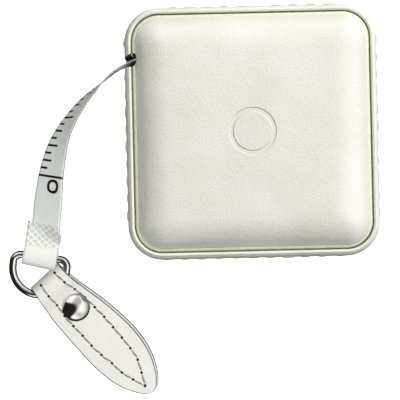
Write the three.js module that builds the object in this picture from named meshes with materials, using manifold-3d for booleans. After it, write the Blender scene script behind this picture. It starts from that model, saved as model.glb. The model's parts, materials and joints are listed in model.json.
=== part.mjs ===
// A cloth tape measure in a square padded leather case, lying on its back.
// Millimetres. The origin is the middle of the case's underside, +Z points up out of the
// padded front, +Y is the top of the case and the tape leaves through its -X side.
import * as THREE from 'three';
import { mergeVertices } from 'three/addons/utils/BufferGeometryUtils.js';
import Module from 'manifold-3d';

const wasm = await Module();
wasm.setup();

// Case
const caseCorner = 7;
const padRise = 2.5;
const rimHeight = 1.1;
const rimWidth = 1;
const rimRound = 0.5;
const rimShoulderShare = 0.3;
const bandBulge = 0.4;
const bandShoulderShare = 0.7;
const bandLeather = 0.9;
const grooveWidth = 0.25;
const shellWall = 1.2;
const shellPlate = 1;

// Clearances
const fitGap = 0.3;
const runningGap = 0.1;
const cutOverrun = 2;

// Padded faces
const skinLeather = 0.7;
const flankWidth = 3;
const crownRise = 0.5;
const standFlat = 0.5;
const cardThickness = 0.9;

// Tape
const tapeWidth = 7;
const tapeThickness = 0.36;
const turnGap = 0.45;
const feedInset = 1.7;
const bendRadius = 5.5;
const bendInset = 3.5;
const exitAngle = THREE.MathUtils.degToRad(27);

// Tape mouth
const mouthBelow = 1.8;
const mouthAbove = 1.7;
const mouthCheek = 0.5;
const mouthDepth = 1.6;
const mouthPadNotch = 0.75;

// Reel
const postRadius = 1.8;
const postFootRadius = 3.2;
const postFootHeight = 0.4;
const flangeRadius = 17;
const flangeThickness = 0.5;
const hubRadius = 8.6;
const hubWall = 1.4;
const hubStep = 0.4;
const lidThickness = 0.5;
const trackThickness = 0.55;
const trackWidth = 2.7;
const reelHeadGap = 0.4;
const reelSideGap = 5.7;

// Springs
const springThickness = 0.25;
const springTurns = 6;
const springSlot = 0.7;
const returnRadius = 1.3;
const returnWire = 0.36;
const returnTurns = 4;

// Button
const pressDepth = 1;
const capLipWidth = 0.2;
const capThickness = 0.5;
const stemSide = 5.2;
const stemBore = 1.9;
const stemRoof = 0.55;
const brakeInset = 0.8;
const brakeDropGap = 0.15;
const brakeThickness = 0.5;
const brakePadThickness = 0.3;
const brakePadWidth = 1.4;

// Screws
const screwInset = 6.3;
const screwShank = 0.9;
const screwHead = 1.8;
const screwHeadHeight = 0.8;
const screwLength = 6.5;
const screwSlotWidth = 0.5;
const screwSlotDepth = 0.35;
const screwPost = 2.9;

// Ring, hem, tab and rivet
const ringWire = 0.8;
const ringSideGap = 2.1;
const ringDrop = 2.25;
const ringCorner = 1.5;
const hemShift = 0.5;
const hemLength = 8.4;
const eyeReach = 2;
const eyeTurn = THREE.MathUtils.degToRad(108);
const weldLength = 4.9;
const tabTurn = THREE.MathUtils.degToRad(50.2);
const tabLeather = 0.8;
const tabLift = 0.45;
const tabLength = 32.9;
const tabFoldGap = 1.05;
const tabShoulderHalf = 5;
const tabWidestHalf = 5.95;
const tabWidestAt = 18.6;
const tabTipReach = 3.6;
const leafGripShare = 0.35;
const squeezeShares = [[1, 0.97], [0.79, 0.78], [0.57, 0.4], [0.3, 0.03]];
const rivetAt = 9.1;
const rivetCapRadius = 2.85;
const rivetCapHeight = 1.35;
const rivetEdge = 0.35;
const rivetPost = 0.9;
const rivetBaseRadius = 2.6;
const rivetBaseThickness = 0.35;

// Fineness of the round pieces
const roundSteps = 36;
const smallSteps = 16;
const cornerSteps = 6;
const bendSteps = 5;
const bowSteps = 16;
const wrapSteps = 24;
const springSteps = 24;
const springLead = 3;
const curlSteps = 8;
const curlSides = 5;
const freeSteps = 26;
const hemSteps = 5;
const wireSides = 10;
const domeSteps = 5;

// Sizes worked out from the ones above
const caseHalf = flangeRadius + reelSideGap + shellWall + fitGap + bandLeather + bandBulge;
const reelStack = fitGap + flangeThickness + runningGap + tapeWidth + reelHeadGap;
const caseDepth = 2 * (padRise + rimHeight + shellPlate) + reelStack;
const middle = caseDepth / 2;
const rimTop = caseDepth - padRise;
const plateTop = rimTop - rimHeight;
const plateUnder = plateTop - shellPlate;
const bandInner = caseHalf - bandBulge - bandLeather;
const rimInner = caseHalf - bandBulge - rimWidth;
const padHalf = rimInner - grooveWidth;
const shellHalf = bandInner - fitGap;
const cavityHalf = shellHalf - shellWall;
const cornerAt = half => caseCorner - (caseHalf - half);
const mirrored = z => caseDepth - z;
const cavityFloor = mirrored(plateUnder);
const flangeUnder = cavityFloor + fitGap;
const flangeTop = flangeUnder + flangeThickness;
const tapeLow = flangeTop + runningGap;
const tapeHigh = tapeLow + tapeWidth;
const screwPlace = caseHalf - screwInset;
const feedHeight = flangeRadius - feedInset;
const mouthLow = feedHeight - mouthBelow;
const mouthHigh = feedHeight + mouthAbove;
const bendStart = caseHalf - bendInset;
const ringRadius = tapeWidth / 2 + ringSideGap;
const tabFoldHalf = ringRadius - ringWire - tabFoldGap;

// Heights of the reel, its brake and the post, from the top of the tape down
const hubTop = tapeHigh;
const trackLow = hubTop - trackThickness;
const brakeHigh = trackLow - runningGap;
const brakePadLow = brakeHigh - brakePadThickness;
const brakeLow = brakePadLow - brakeThickness;
const postTop = brakeLow - pressDepth - brakeDropGap;
const lidHeight = postTop - lidThickness;

// Radii of the reel's hub, and of the brake in it
const ledge = hubRadius - hubWall;
const lidSeat = ledge + hubStep;
const trackSeat = lidSeat + hubStep;
const trackOuter = trackSeat - runningGap;
const trackBore = trackOuter - trackWidth;
const brakeRadius = lidSeat - brakeInset;
const capRadius = brakeRadius + capLipWidth;

const leather = { color: 0xe9e9df, roughness: 0.5, metalness: 0 };
const blackPlastic = { color: 0x111111, roughness: 0.45, metalness: 0 };
const steel = { color: 0x9a9da0, roughness: 0.3, metalness: 1 };
const nickel = { color: 0xc9c6c0, roughness: 0.12, metalness: 1 };
const cloth = { color: 0xd6dad6, roughness: 0.6, metalness: 0 };
const foam = { color: 0xd9cfa8, roughness: 0.95, metalness: 0 };
const card = { color: 0x8f7a5c, roughness: 0.9, metalness: 0 };
const rubber = { color: 0x2b2b2b, roughness: 0.9, metalness: 0 };

// The volume's sign tells whether the faces point outwards
function facingOut(geometry) {
  const points = geometry.attributes.position;
  const order = geometry.index.array;
  const [a, b, c] = [new THREE.Vector3(), new THREE.Vector3(), new THREE.Vector3()];
  let volume = 0;
  for (let i = 0; i < order.length; i += 3) {
    a.fromBufferAttribute(points, order[i]);
    b.fromBufferAttribute(points, order[i + 1]);
    c.fromBufferAttribute(points, order[i + 2]);
    volume += a.dot(b.cross(c));
  }
  if (volume < 0) {
    for (let i = 0; i < order.length; i += 3) {
      [order[i], order[i + 1]] = [order[i + 1], order[i]];
    }
  }
  return geometry;
}

function closed(geometry) {
  geometry.deleteAttribute('normal');
  geometry.deleteAttribute('uv');
  return facingOut(mergeVertices(geometry));
}

function solid(geometry) {
  const merged = closed(geometry);
  const mesh = new wasm.Mesh({
    numProp: 3,
    vertProperties: new Float32Array(merged.attributes.position.array),
    triVerts: new Uint32Array(merged.index.array),
  });
  return new wasm.Manifold(mesh);
}

function fromSolid(shape) {
  const mesh = shape.getMesh();
  const geometry = new THREE.BufferGeometry();
  geometry.setAttribute('position', new THREE.BufferAttribute(mesh.vertProperties, 3));
  geometry.setIndex(new THREE.BufferAttribute(mesh.triVerts, 1));
  return geometry;
}

function piece(name, shape, finish, parent) {
  const geometry = shape.isBufferGeometry ? closed(shape) : fromSolid(shape);
  geometry.computeVertexNormals();
  const mesh = new THREE.Mesh(geometry, new THREE.MeshStandardMaterial(finish));
  mesh.name = name;
  parent.add(mesh);
  return mesh;
}

// Rings of points joined into one skin, closed on itself or with both ends capped
function loft(rings, loop = false) {
  const count = rings[0].length;
  const positions = rings.flat().flatMap(p => [p.x, p.y, p.z]);
  const order = [];
  const last = loop ? rings.length : rings.length - 1;
  for (let i = 0; i < last; i++) {
    const here = i * count;
    const next = ((i + 1) % rings.length) * count;
    for (let j = 0; j < count; j++) {
      const k = (j + 1) % count;
      order.push(here + j, here + k, next + j, here + k, next + k, next + j);
    }
  }
  if (!loop) {
    const top = (rings.length - 1) * count;
    for (let j = 1; j < count - 1; j++) {
      order.push(0, j + 1, j, top, top + j, top + j + 1);
    }
  }
  const geometry = new THREE.BufferGeometry();
  geometry.setAttribute('position', new THREE.Float32BufferAttribute(positions, 3));
  geometry.setIndex(order);
  return facingOut(geometry);
}

function roundedSquare(half, corner) {
  const shape = new THREE.Shape();
  const run = half - corner;
  shape.absarc(run, run, corner, 0, Math.PI / 2);
  shape.absarc(-run, run, corner, Math.PI / 2, Math.PI);
  shape.absarc(-run, -run, corner, Math.PI, Math.PI * 3 / 2);
  shape.absarc(run, -run, corner, Math.PI * 3 / 2, Math.PI * 2);
  return shape;
}

function prism(shape, low, high) {
  const settings = { depth: high - low, bevelEnabled: false, curveSegments: cornerSteps };
  return new THREE.ExtrudeGeometry(shape, settings).translate(0, 0, low);
}

function box(x0, x1, y0, y1, z0, z1) {
  const geometry = new THREE.BoxGeometry(x1 - x0, y1 - y0, z1 - z0);
  return geometry.translate((x0 + x1) / 2, (y0 + y1) / 2, (z0 + z1) / 2);
}

function rod(radius, low, high, x = 0, y = 0) {
  const steps = radius < capRadius / 2 ? smallSteps : roundSteps;
  const geometry = new THREE.CylinderGeometry(radius, radius, high - low, steps);
  return geometry.rotateX(Math.PI / 2).translate(x, y, (low + high) / 2);
}

// A profile of [radius, height] pairs turned about the upright axis
function turned(profile) {
  const reach = Math.max(...profile.map(([r]) => r));
  const steps = reach < capRadius / 2 ? smallSteps : roundSteps;
  const outline = [...profile, profile[0]].map(([r, z]) => new THREE.Vector2(r, z));
  return new THREE.LatheGeometry(outline, steps).rotateX(Math.PI / 2);
}

// Points round a rounded square, each with the way out of it
function squareStations(half, corner) {
  const stations = [];
  const run = half - corner;
  for (let side = 0; side < 4; side++) {
    const centre = new THREE.Vector2(run, run).rotateAround(new THREE.Vector2(), side * Math.PI / 2);
    for (let i = 0; i <= cornerSteps; i++) {
      const angle = (side + i / cornerSteps) * Math.PI / 2;
      const out = new THREE.Vector2(Math.cos(angle), Math.sin(angle));
      stations.push({ at: centre.clone().addScaledVector(out, corner), out });
    }
  }
  return stations;
}

// A closed frame round the case, its section given as [way out, height] pairs
function frame(half, section) {
  const rings = squareStations(half, cornerAt(half)).map(({ at, out }) =>
    section.map(([o, z]) => new THREE.Vector3(at.x + out.x * o, at.y + out.y * o, z)));
  return loft(rings, true);
}

function squareRing(half, corner, z) {
  return squareStations(half, corner).map(({ at }) => new THREE.Vector3(at.x, at.y, z));
}

function arcPoints(x, y, radius, from, to, steps) {
  return Array.from({ length: steps + 1 }, (_, i) => {
    const angle = from + (to - from) * i / steps;
    return new THREE.Vector2(x + radius * Math.cos(angle), y + radius * Math.sin(angle));
  });
}

// A strip standing on edge along a flat path
function strip(path, thickness, low, high) {
  const rings = path.map((p, i) => {
    const before = path[Math.max(i - 1, 0)];
    const after = path[Math.min(i + 1, path.length - 1)];
    const along = after.clone().sub(before).normalize();
    const x = -along.y * thickness / 2;
    const y = along.x * thickness / 2;
    return [
      new THREE.Vector3(p.x + x, p.y + y, low), new THREE.Vector3(p.x - x, p.y - y, low),
      new THREE.Vector3(p.x - x, p.y - y, high), new THREE.Vector3(p.x + x, p.y + y, high),
    ];
  });
  return loft(rings);
}

const part = new THREE.Group();
const caseGroup = new THREE.Group();
part.add(caseGroup);

// The mouth is one slot through the side, the rim and the edge of the padded face
function mouthCut(inwards, low = cavityFloor, high = caseDepth, spare = 0) {
  return solid(box(-caseHalf - cutOverrun, -inwards, mouthLow - spare, mouthHigh + spare, low, high));
}

// Leather side and rims
const sideLow = mirrored(plateTop);
const bandSection = [
  [0, sideLow], [bandLeather, sideLow],
  [bandLeather + bandBulge * bandShoulderShare, (sideLow + middle) / 2 - bandBulge],
  [bandLeather + bandBulge, middle],
  [bandLeather + bandBulge * bandShoulderShare, (plateTop + middle) / 2 + bandBulge],
  [bandLeather, plateTop], [0, plateTop],
];
const mouthBottom = tapeLow - fitGap;
const band = solid(frame(bandInner, bandSection));
piece('side_leather', band.subtract(mouthCut(cavityHalf, mouthBottom)), leather, caseGroup);

const rimShoulder = rimRound * rimShoulderShare;
const rimSection = [
  [0, plateTop], [rimWidth, plateTop], [rimWidth, rimTop - rimRound],
  [rimWidth - rimShoulder, rimTop - rimShoulder], [rimWidth / 2, rimTop],
  [rimShoulder, rimTop - rimShoulder], [0, rimTop - rimRound],
];
const frontRim = solid(frame(rimInner, rimSection));
piece('front_rim', frontRim.subtract(mouthCut(cavityHalf)), leather, caseGroup);
piece('rear_rim', frame(rimInner, rimSection.map(([o, z]) => [o, mirrored(z)])), leather, caseGroup);

// Plastic shells, meeting at the middle of the depth
const corners = [[1, 1], [-1, 1], [-1, -1], [1, -1]].map(([x, y]) => [x * screwPlace, y * screwPlace]);
const window = mouthCheek + runningGap;

function shellTray(outside, inside, seam) {
  const [low, high] = [outside, seam].sort((a, b) => a - b);
  const open = seam + Math.sign(seam - inside) * cutOverrun;
  const [pocketLow, pocketHigh] = [inside, open].sort((a, b) => a - b);
  const pocket = prism(roundedSquare(cavityHalf, cornerAt(cavityHalf)), pocketLow, pocketHigh);
  const block = prism(roundedSquare(shellHalf, cornerAt(shellHalf)), low, high);
  let tray = solid(block).subtract(solid(pocket));
  for (const [x, y] of corners) {
    tray = tray.add(solid(rod(screwPost, low, high, x, y)));
  }
  return tray.subtract(mouthCut(shellHalf - mouthDepth, cavityFloor + runningGap, caseDepth, window));
}

const stemHole = stemSide / 2 + runningGap;
const stemCut = box(-stemHole, stemHole, -stemHole, stemHole, plateUnder - cutOverrun, plateTop + cutOverrun);
let frontShell = shellTray(plateTop, plateUnder, middle).subtract(solid(stemCut));
let rearShell = shellTray(sideLow, cavityFloor, middle);
const postFootTop = sideLow + postFootHeight;
rearShell = rearShell.subtract(solid(rod(postFootRadius + runningGap, 0, postFootTop + runningGap)));
rearShell = rearShell.subtract(solid(rod(postRadius + runningGap, 0, middle)));

const screwHeadTop = sideLow + screwHeadHeight;
const screwTip = screwHeadTop + screwLength;
corners.forEach(([x, y], i) => {
  const hole = screwShank + fitGap;
  frontShell = frontShell.subtract(solid(rod(hole, 0, screwTip + fitGap, x, y)));
  rearShell = rearShell.subtract(solid(rod(hole, 0, middle + cutOverrun, x, y)));
  rearShell = rearShell.subtract(solid(rod(screwHead + fitGap, 0, screwHeadTop + runningGap, x, y)));
  const profile = [
    [0, sideLow], [screwHead, sideLow], [screwHead, screwHeadTop], [screwShank, screwHeadTop],
    [screwShank, screwTip - screwShank], [0, screwTip],
  ];
  const slot = box(x - screwHead, x + screwHead, y - screwSlotWidth / 2, y + screwSlotWidth / 2,
    sideLow - cutOverrun, sideLow + screwSlotDepth);
  const screw = solid(turned(profile).translate(x, y, 0)).subtract(solid(slot));
  piece(`case_screw_${i + 1}`, screw, steel, caseGroup);
});
piece('front_shell', frontShell, blackPlastic, caseGroup);
piece('rear_shell', rearShell, blackPlastic, caseGroup);

// Black liner that guides the tape through the mouth, open to the front
const linerTop = plateTop - fitGap;
const linerIn = shellHalf - mouthDepth + runningGap;
const liner = solid(box(-shellHalf, -linerIn, mouthLow - mouthCheek, mouthHigh + mouthCheek,
  cavityFloor + 2 * runningGap, linerTop));
const throat = box(-caseHalf, 0, mouthLow, mouthHigh, mouthBottom, caseDepth);
piece('tape_mouth', liner.subtract(solid(throat)), blackPlastic, caseGroup);

// Padded faces: a leather skin over foam on a stiff card
const flankRise = caseDepth - crownRise - plateTop;
const flankShares = [0, 0.08, 0.25, 0.5, 0.75, 1];
const crownShares = [0.25, 0.5, 0.75, 0.92];
const cornerShare = 0.3;

function padRings(inset, drop, crown, cut) {
  const width = flankWidth - inset / 2;
  const rise = flankRise - drop;
  const edge = padHalf - inset;
  const cornerAlong = share => cornerAt(edge) - width * share * cornerShare;
  const rings = flankShares.map(share => {
    const height = rise * Math.sqrt(1 - (1 - share) ** 2);
    return squareRing(edge - width * share, cornerAlong(share), plateTop + height);
  });
  for (const share of crownShares) {
    const height = Math.min(crown * (1 - (1 - share) ** 2), cut);
    const half = (edge - width) * (1 - share);
    const corner = Math.min(half, cornerAlong(1) * (1 - share) + half * share);
    rings.push(squareRing(half, corner, plateTop + rise + height));
  }
  return rings;
}

function flip(rings, rear) {
  return rear ? rings.map(ring => ring.map(p => new THREE.Vector3(p.x, p.y, mirrored(p.z)))) : rings;
}

const cardTop = plateTop + cardThickness;
const capTop = cardTop + pressDepth - cardThickness + runningGap + capThickness;
const pocketTop = capTop + runningGap / 2;
const cardHalf = padHalf - skinLeather - fitGap;

for (const side of ['front', 'rear']) {
  const rear = side === 'rear';
  const crown = rear ? crownRise + standFlat : crownRise;
  const outer = padRings(0, 0, crown, crownRise);
  const inner = padRings(skinLeather, skinLeather, crown, crownRise);
  const skin = solid(loft(flip([...inner.reverse(), ...outer], rear)));
  const notch = mouthCut(padHalf - mouthPadNotch);
  piece(`${side}_leather`, rear ? skin : skin.subtract(notch), leather, caseGroup);

  const core = padRings(skinLeather + fitGap, skinLeather + fitGap, crown, crownRise);
  const mound = solid(loft(flip(core, rear)));
  const [slabFrom, slabTo] = rear ? [mirrored(cardTop), caseDepth] : [0, cardTop];
  const slab = box(-caseHalf, caseHalf, -caseHalf, caseHalf, slabFrom, slabTo);
  let pad = mound.subtract(solid(slab));
  const plate = prism(roundedSquare(cardHalf, cornerAt(cardHalf)), plateTop, cardTop);
  let board = solid(rear ? plate.translate(0, 0, mirrored(cardTop) - plateTop) : plate);
  if (!rear) {
    pad = pad.subtract(solid(rod(capRadius + fitGap, 0, pocketTop)));
    board = board.subtract(solid(rod(capRadius + fitGap, 0, caseDepth)));
    board = board.subtract(mouthCut(cardHalf - mouthPadNotch));
  }
  piece(`${side}_foam`, pad, foam, caseGroup);
  piece(`${side}_card`, board, card, caseGroup);
}

// Axle post, riveted into the rear shell and slotted for the spring's inner end
const post = solid(turned([
  [0, sideLow], [postFootRadius, sideLow], [postFootRadius, postFootTop],
  [postRadius, postFootTop], [postRadius, postTop], [0, postTop],
]));
const springLow = tapeLow + runningGap;
const springHigh = lidHeight - runningGap;
const postSlot = box(0, postRadius + cutOverrun, -springSlot / 2, springSlot / 2,
  springLow - runningGap, postTop + cutOverrun);
piece('axle_post', post.subtract(solid(postSlot)), steel, caseGroup);

// Reel: drum with one flange, spring lid, brake track, and the tape wound on it
const reelGroup = new THREE.Group();
part.add(reelGroup);
const reelBore = postRadius + 2 * runningGap;
piece('reel_drum', turned([
  [reelBore, flangeUnder], [flangeRadius, flangeUnder], [flangeRadius, flangeTop],
  [hubRadius, flangeTop], [hubRadius, hubTop], [trackSeat, hubTop], [trackSeat, trackLow],
  [lidSeat, trackLow], [lidSeat, lidHeight], [ledge, lidHeight], [ledge, flangeTop],
  [reelBore, flangeTop],
]), blackPlastic, reelGroup);
piece('spring_lid', turned([
  [reelBore, lidHeight], [lidSeat - runningGap, lidHeight],
  [lidSeat - runningGap, postTop], [reelBore, postTop],
]), blackPlastic, reelGroup);
piece('brake_track', turned([
  [trackBore, trackLow], [trackOuter, trackLow], [trackOuter, hubTop], [trackBore, hubTop],
]), steel, reelGroup);
const packOuter = feedHeight - tapeThickness / 2 - turnGap;
piece('wound_tape', turned([
  [hubRadius + runningGap, tapeLow], [packOuter, tapeLow],
  [packOuter, tapeHigh], [hubRadius + runningGap, tapeHigh],
]), cloth, reelGroup);

// Power spring: its inner end sits in the post's slot, its outer end by the drum's wall
const springPath = [new THREE.Vector2(0, 0), new THREE.Vector2(postRadius + runningGap, 0)];
const springInner = postRadius + 2 * fitGap;
const springOuter = ledge - fitGap - springThickness;
for (let i = springLead; i <= springTurns * springSteps; i++) {
  const turns = i / springSteps;
  const radius = springInner + (springOuter - springInner) * turns / springTurns;
  const angle = turns * Math.PI * 2;
  springPath.push(new THREE.Vector2(radius * Math.cos(angle), radius * Math.sin(angle)));
}
piece('power_spring', strip(springPath, springThickness, springLow, springHigh), steel, caseGroup);
const springGap = (springOuter - springInner) / springTurns - springThickness;

// The tape's outer turn on the reel, its run to the mouth and the bend in the mouth
const wrapStart = THREE.MathUtils.degToRad(-225);
const bendMiddleY = feedHeight - bendRadius;
const feedPath = [
  ...arcPoints(0, 0, feedHeight, wrapStart, Math.PI / 2, wrapSteps),
  ...arcPoints(-bendStart, bendMiddleY, bendRadius, Math.PI / 2, Math.PI / 2 + exitAngle, bendSteps),
];
const exitWay = new THREE.Vector2(-Math.cos(exitAngle), -Math.sin(exitAngle));
feedPath[feedPath.length - 1].addScaledVector(exitWay, -fitGap);
piece('tape_feed', strip(feedPath, tapeThickness, tapeLow, tapeHigh), cloth, caseGroup);

// Least gap between the outer turn's start and the run that passes over it
const feedGap = Math.min(...feedPath.slice(0, wrapSteps / 2).map(p => feedHeight - p.y)) - tapeThickness;
console.log('least gap of power_spring to itself', springGap.toFixed(2), 'mm');
console.log('least gap of tape_feed to itself', feedGap.toFixed(2), 'mm');

// Button: cap under the foam, square stem through the front shell, brake disc under the track
const buttonGroup = new THREE.Group();
part.add(buttonGroup);
const capLow = capTop - capThickness;
const stem = solid(box(-stemSide / 2, stemSide / 2, -stemSide / 2, stemSide / 2, brakeLow, capLow));
const boreTop = capLow - stemRoof;
const brakeDisc = solid(rod(brakeRadius, brakeLow, brakePadLow));
const buttonBody = brakeDisc.add(stem).subtract(solid(rod(stemBore, 0, boreTop)));
piece('brake_button', buttonBody, blackPlastic, buttonGroup);
piece('brake_pad', turned([
  [brakeRadius - brakePadWidth, brakePadLow], [brakeRadius, brakePadLow],
  [brakeRadius, brakeHigh], [brakeRadius - brakePadWidth, brakeHigh],
]), rubber, buttonGroup);
piece('button_cap', rod(capRadius, capLow, capTop), blackPlastic, buttonGroup);

// Return spring between the post's top and the stem's roof
const returnLow = postTop + runningGap + returnWire / 2;
const returnHigh = boreTop - runningGap - returnWire / 2;
const returnRings = [];
for (let i = 0; i <= returnTurns * curlSteps; i++) {
  const share = i / (returnTurns * curlSteps);
  const angle = share * returnTurns * Math.PI * 2;
  const out = new THREE.Vector3(Math.cos(angle), Math.sin(angle), 0);
  const centre = out.clone().multiplyScalar(returnRadius);
  centre.z = returnLow + (returnHigh - returnLow) * share;
  const ring = [];
  for (let k = 0; k < curlSides; k++) {
    const turn = k / curlSides * Math.PI * 2;
    ring.push(centre.clone().addScaledVector(out, Math.cos(turn) * returnWire / 2)
      .add(new THREE.Vector3(0, 0, Math.sin(turn) * returnWire / 2)));
  }
  returnRings.push(ring);
}
piece('return_spring', loft(returnRings), steel, caseGroup);

// Route of the free tape, from the mouth to just short of the ring's bar: x, y, height and lean
const route = [
  [-24.5, 14.7, 9, 0], [-27.39, 13.21, 9.05, 1], [-29.69, 11.39, 9.1, 3], [-31.81, 9.37, 9.1, 10],
  [-33.87, 7.35, 9.05, 16], [-35.68, 5.15, 8.9, 21], [-37.28, 2.82, 8.7, 26], [-38.63, 0.43, 8.3, 32],
  [-39.7, -2.1, 7.8, 39], [-40.5, -4.67, 7.2, 45], [-41.2, -7.45, 6.4, 50], [-41.72, -10.24, 5.5, 54],
  [-42.18, -13.14, 4.5, 59], [-42.86, -16.8, 3, 62], [-43.55, -19, 2.2, 72], [-44.05, -20.8, 1.9, 85],
  [-44.33, -22.6, 1.9, 90],
];
const routeLine = new THREE.CatmullRomCurve3(route.map(([x, y, z]) => new THREE.Vector3(x, y, z)));
const leanLine = new THREE.CatmullRomCurve3(route.map(([, , , lean]) => new THREE.Vector3(lean, 0, 0)));
const routeLength = routeLine.getLength();
const up = new THREE.Vector3(0, 0, 1);

// A point beside the route: how far along, how far across and how far off its face
function besideRoute(along, across, off) {
  const reach = Math.min(along, routeLength);
  const t = routeLine.getUtoTmapping(reach / routeLength);
  const way = routeLine.getTangent(t);
  const lean = THREE.MathUtils.degToRad(leanLine.getPoint(t).x);
  const side = new THREE.Vector3().crossVectors(way, up).normalize();
  const rise = new THREE.Vector3().crossVectors(side, way);
  const face = side.clone().multiplyScalar(Math.cos(lean)).addScaledVector(rise, Math.sin(lean));
  const edge = rise.clone().multiplyScalar(Math.cos(lean)).addScaledVector(side, -Math.sin(lean));
  return routeLine.getPoint(t).addScaledVector(way, along - reach).addScaledVector(edge, across)
    .addScaledVector(face, off);
}

const tapeGroup = new THREE.Group();
part.add(tapeGroup);
const barAlong = routeLength + eyeReach;
const hemStart = barAlong - hemLength + ringWire;
const halfWidth = tapeWidth / 2;
const halfTape = tapeThickness / 2;
const freeRings = [];
for (let i = 0; i <= freeSteps; i++) {
  const along = (hemStart - fitGap) * i / freeSteps;
  freeRings.push([
    besideRoute(along, -halfWidth, -halfTape), besideRoute(along, halfWidth, -halfTape),
    besideRoute(along, halfWidth, halfTape), besideRoute(along, -halfWidth, halfTape),
  ]);
}
piece('free_tape', loft(freeRings), cloth, tapeGroup);

// Hem: the tape's end folded round the ring's bar and welded flat on itself
const eyeInner = ringWire + runningGap;
const eyeOuter = eyeInner + tapeThickness;
const weldEnd = hemStart + weldLength;
const hemShape = new THREE.Shape();
hemShape.moveTo(hemStart, -halfTape);
for (let i = 1; i <= hemSteps; i++) {
  hemShape.lineTo(hemStart + weldLength * i / hemSteps, -halfTape);
}
hemShape.absarc(barAlong, 0, eyeOuter, -eyeTurn, eyeTurn, false);
for (let i = hemSteps; i >= 0; i--) {
  hemShape.lineTo(hemStart + weldLength * i / hemSteps, tapeThickness + halfTape);
}
const eye = new THREE.Path();
eye.moveTo(weldEnd + tapeThickness, halfTape);
eye.absarc(barAlong, 0, eyeInner, -eyeTurn, eyeTurn, false);
eye.lineTo(weldEnd + tapeThickness, halfTape);
hemShape.holes.push(eye);
const hem = prism(hemShape, -halfWidth, halfWidth);
const hemPoints = hem.attributes.position;
for (let i = 0; i < hemPoints.count; i++) {
  const at = besideRoute(hemPoints.getX(i), hemPoints.getZ(i), hemPoints.getY(i));
  hemPoints.setXYZ(i, at.x, at.y, at.z);
}
piece('tape_hem', hem, cloth, tapeGroup);

// D-ring: its bar in the hem, its bow towards the tab
const ringGroup = new THREE.Group();
const ringAt = besideRoute(barAlong + ringDrop, hemShift, 0);
const barEnd = besideRoute(barAlong + ringDrop, hemShift + halfWidth, 0);
ringGroup.position.copy(ringAt);
ringGroup.rotation.z = Math.atan2(barEnd.y - ringAt.y, barEnd.x - ringAt.x);
part.add(ringGroup);
const bowEnd = ringDrop - ringCorner;
const ringLine = [
  ...arcPoints(0, 0, ringRadius, Math.PI, Math.PI * 2, bowSteps),
  ...arcPoints(ringRadius - ringCorner, bowEnd, ringCorner, 0, Math.PI / 2, bendSteps),
  ...arcPoints(ringCorner - ringRadius, bowEnd, ringCorner, Math.PI / 2, Math.PI, bendSteps),
];
const ringRings = ringLine.map((p, i) => {
  const before = ringLine[(i + ringLine.length - 1) % ringLine.length];
  const after = ringLine[(i + 1) % ringLine.length];
  const along = after.clone().sub(before).normalize();
  const ring = [];
  for (let k = 0; k < wireSides; k++) {
    const turn = k / wireSides * Math.PI * 2;
    const out = Math.cos(turn) * ringWire;
    ring.push(new THREE.Vector3(p.x + along.y * out, p.y - along.x * out, Math.sin(turn) * ringWire));
  }
  return ring;
});
piece('d_ring', loft(ringRings, true), nickel, ringGroup);

// Pull tab: one strip of leather folded round the bow, glued and sewn flat on itself
const tabGroup = new THREE.Group();
tabGroup.rotation.z = tabTurn - Math.PI / 2;
ringGroup.add(tabGroup);
const wireNear = Math.sqrt((ringRadius - ringWire) ** 2 - tabFoldHalf ** 2);
const foldFace = wireNear - fitGap / 2 - tabLeather;
const foldInner = ringWire + fitGap / 2;
const foldOuter = foldInner + tabLeather;
const foldCentre = foldFace + foldOuter;
const slabLow = tabLift - ringAt.z;
const slabHigh = slabLow + 2 * tabLeather;
const slabMiddle = (slabLow + slabHigh) / 2;
const rivetX = foldFace + rivetAt;
const flatAt = rivetX - rivetCapRadius - fitGap;
const tailAt = flatAt - tabLeather;
const tabEnd = foldFace + tabLength;
const bendMiddle = (ringRadius + ringWire + flatAt) / 2;
const tabSide = new THREE.Shape();
tabSide.absarc(foldCentre, 0, foldOuter, Math.PI / 2, Math.PI * 3 / 2);
tabSide.bezierCurveTo(ringRadius, -foldOuter, bendMiddle, slabLow, flatAt, slabLow);
tabSide.lineTo(tabEnd + cutOverrun, slabLow);
tabSide.lineTo(tabEnd + cutOverrun, slabHigh);
tabSide.lineTo(flatAt, slabHigh);
tabSide.bezierCurveTo(bendMiddle, slabHigh, bendMiddle, foldOuter, ringRadius, foldOuter);
tabSide.closePath();
const loopHole = new THREE.Path();
loopHole.absarc(foldCentre, 0, foldInner, Math.PI / 2, Math.PI * 3 / 2);
loopHole.lineTo(ringRadius, -foldInner);
loopHole.lineTo(tailAt, slabMiddle - runningGap / 2);
for (const [alongShare, dropShare] of squeezeShares) {
  const drop = (foldInner - slabMiddle) * dropShare;
  loopHole.lineTo(ringRadius + (tailAt - ringRadius) * alongShare, foldInner - drop);
}
loopHole.lineTo(ringRadius, foldInner);
loopHole.closePath();
tabSide.holes.push(loopHole);
const tabStrip = prism(tabSide, -tabWidestHalf, tabWidestHalf).rotateX(Math.PI / 2);

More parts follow.
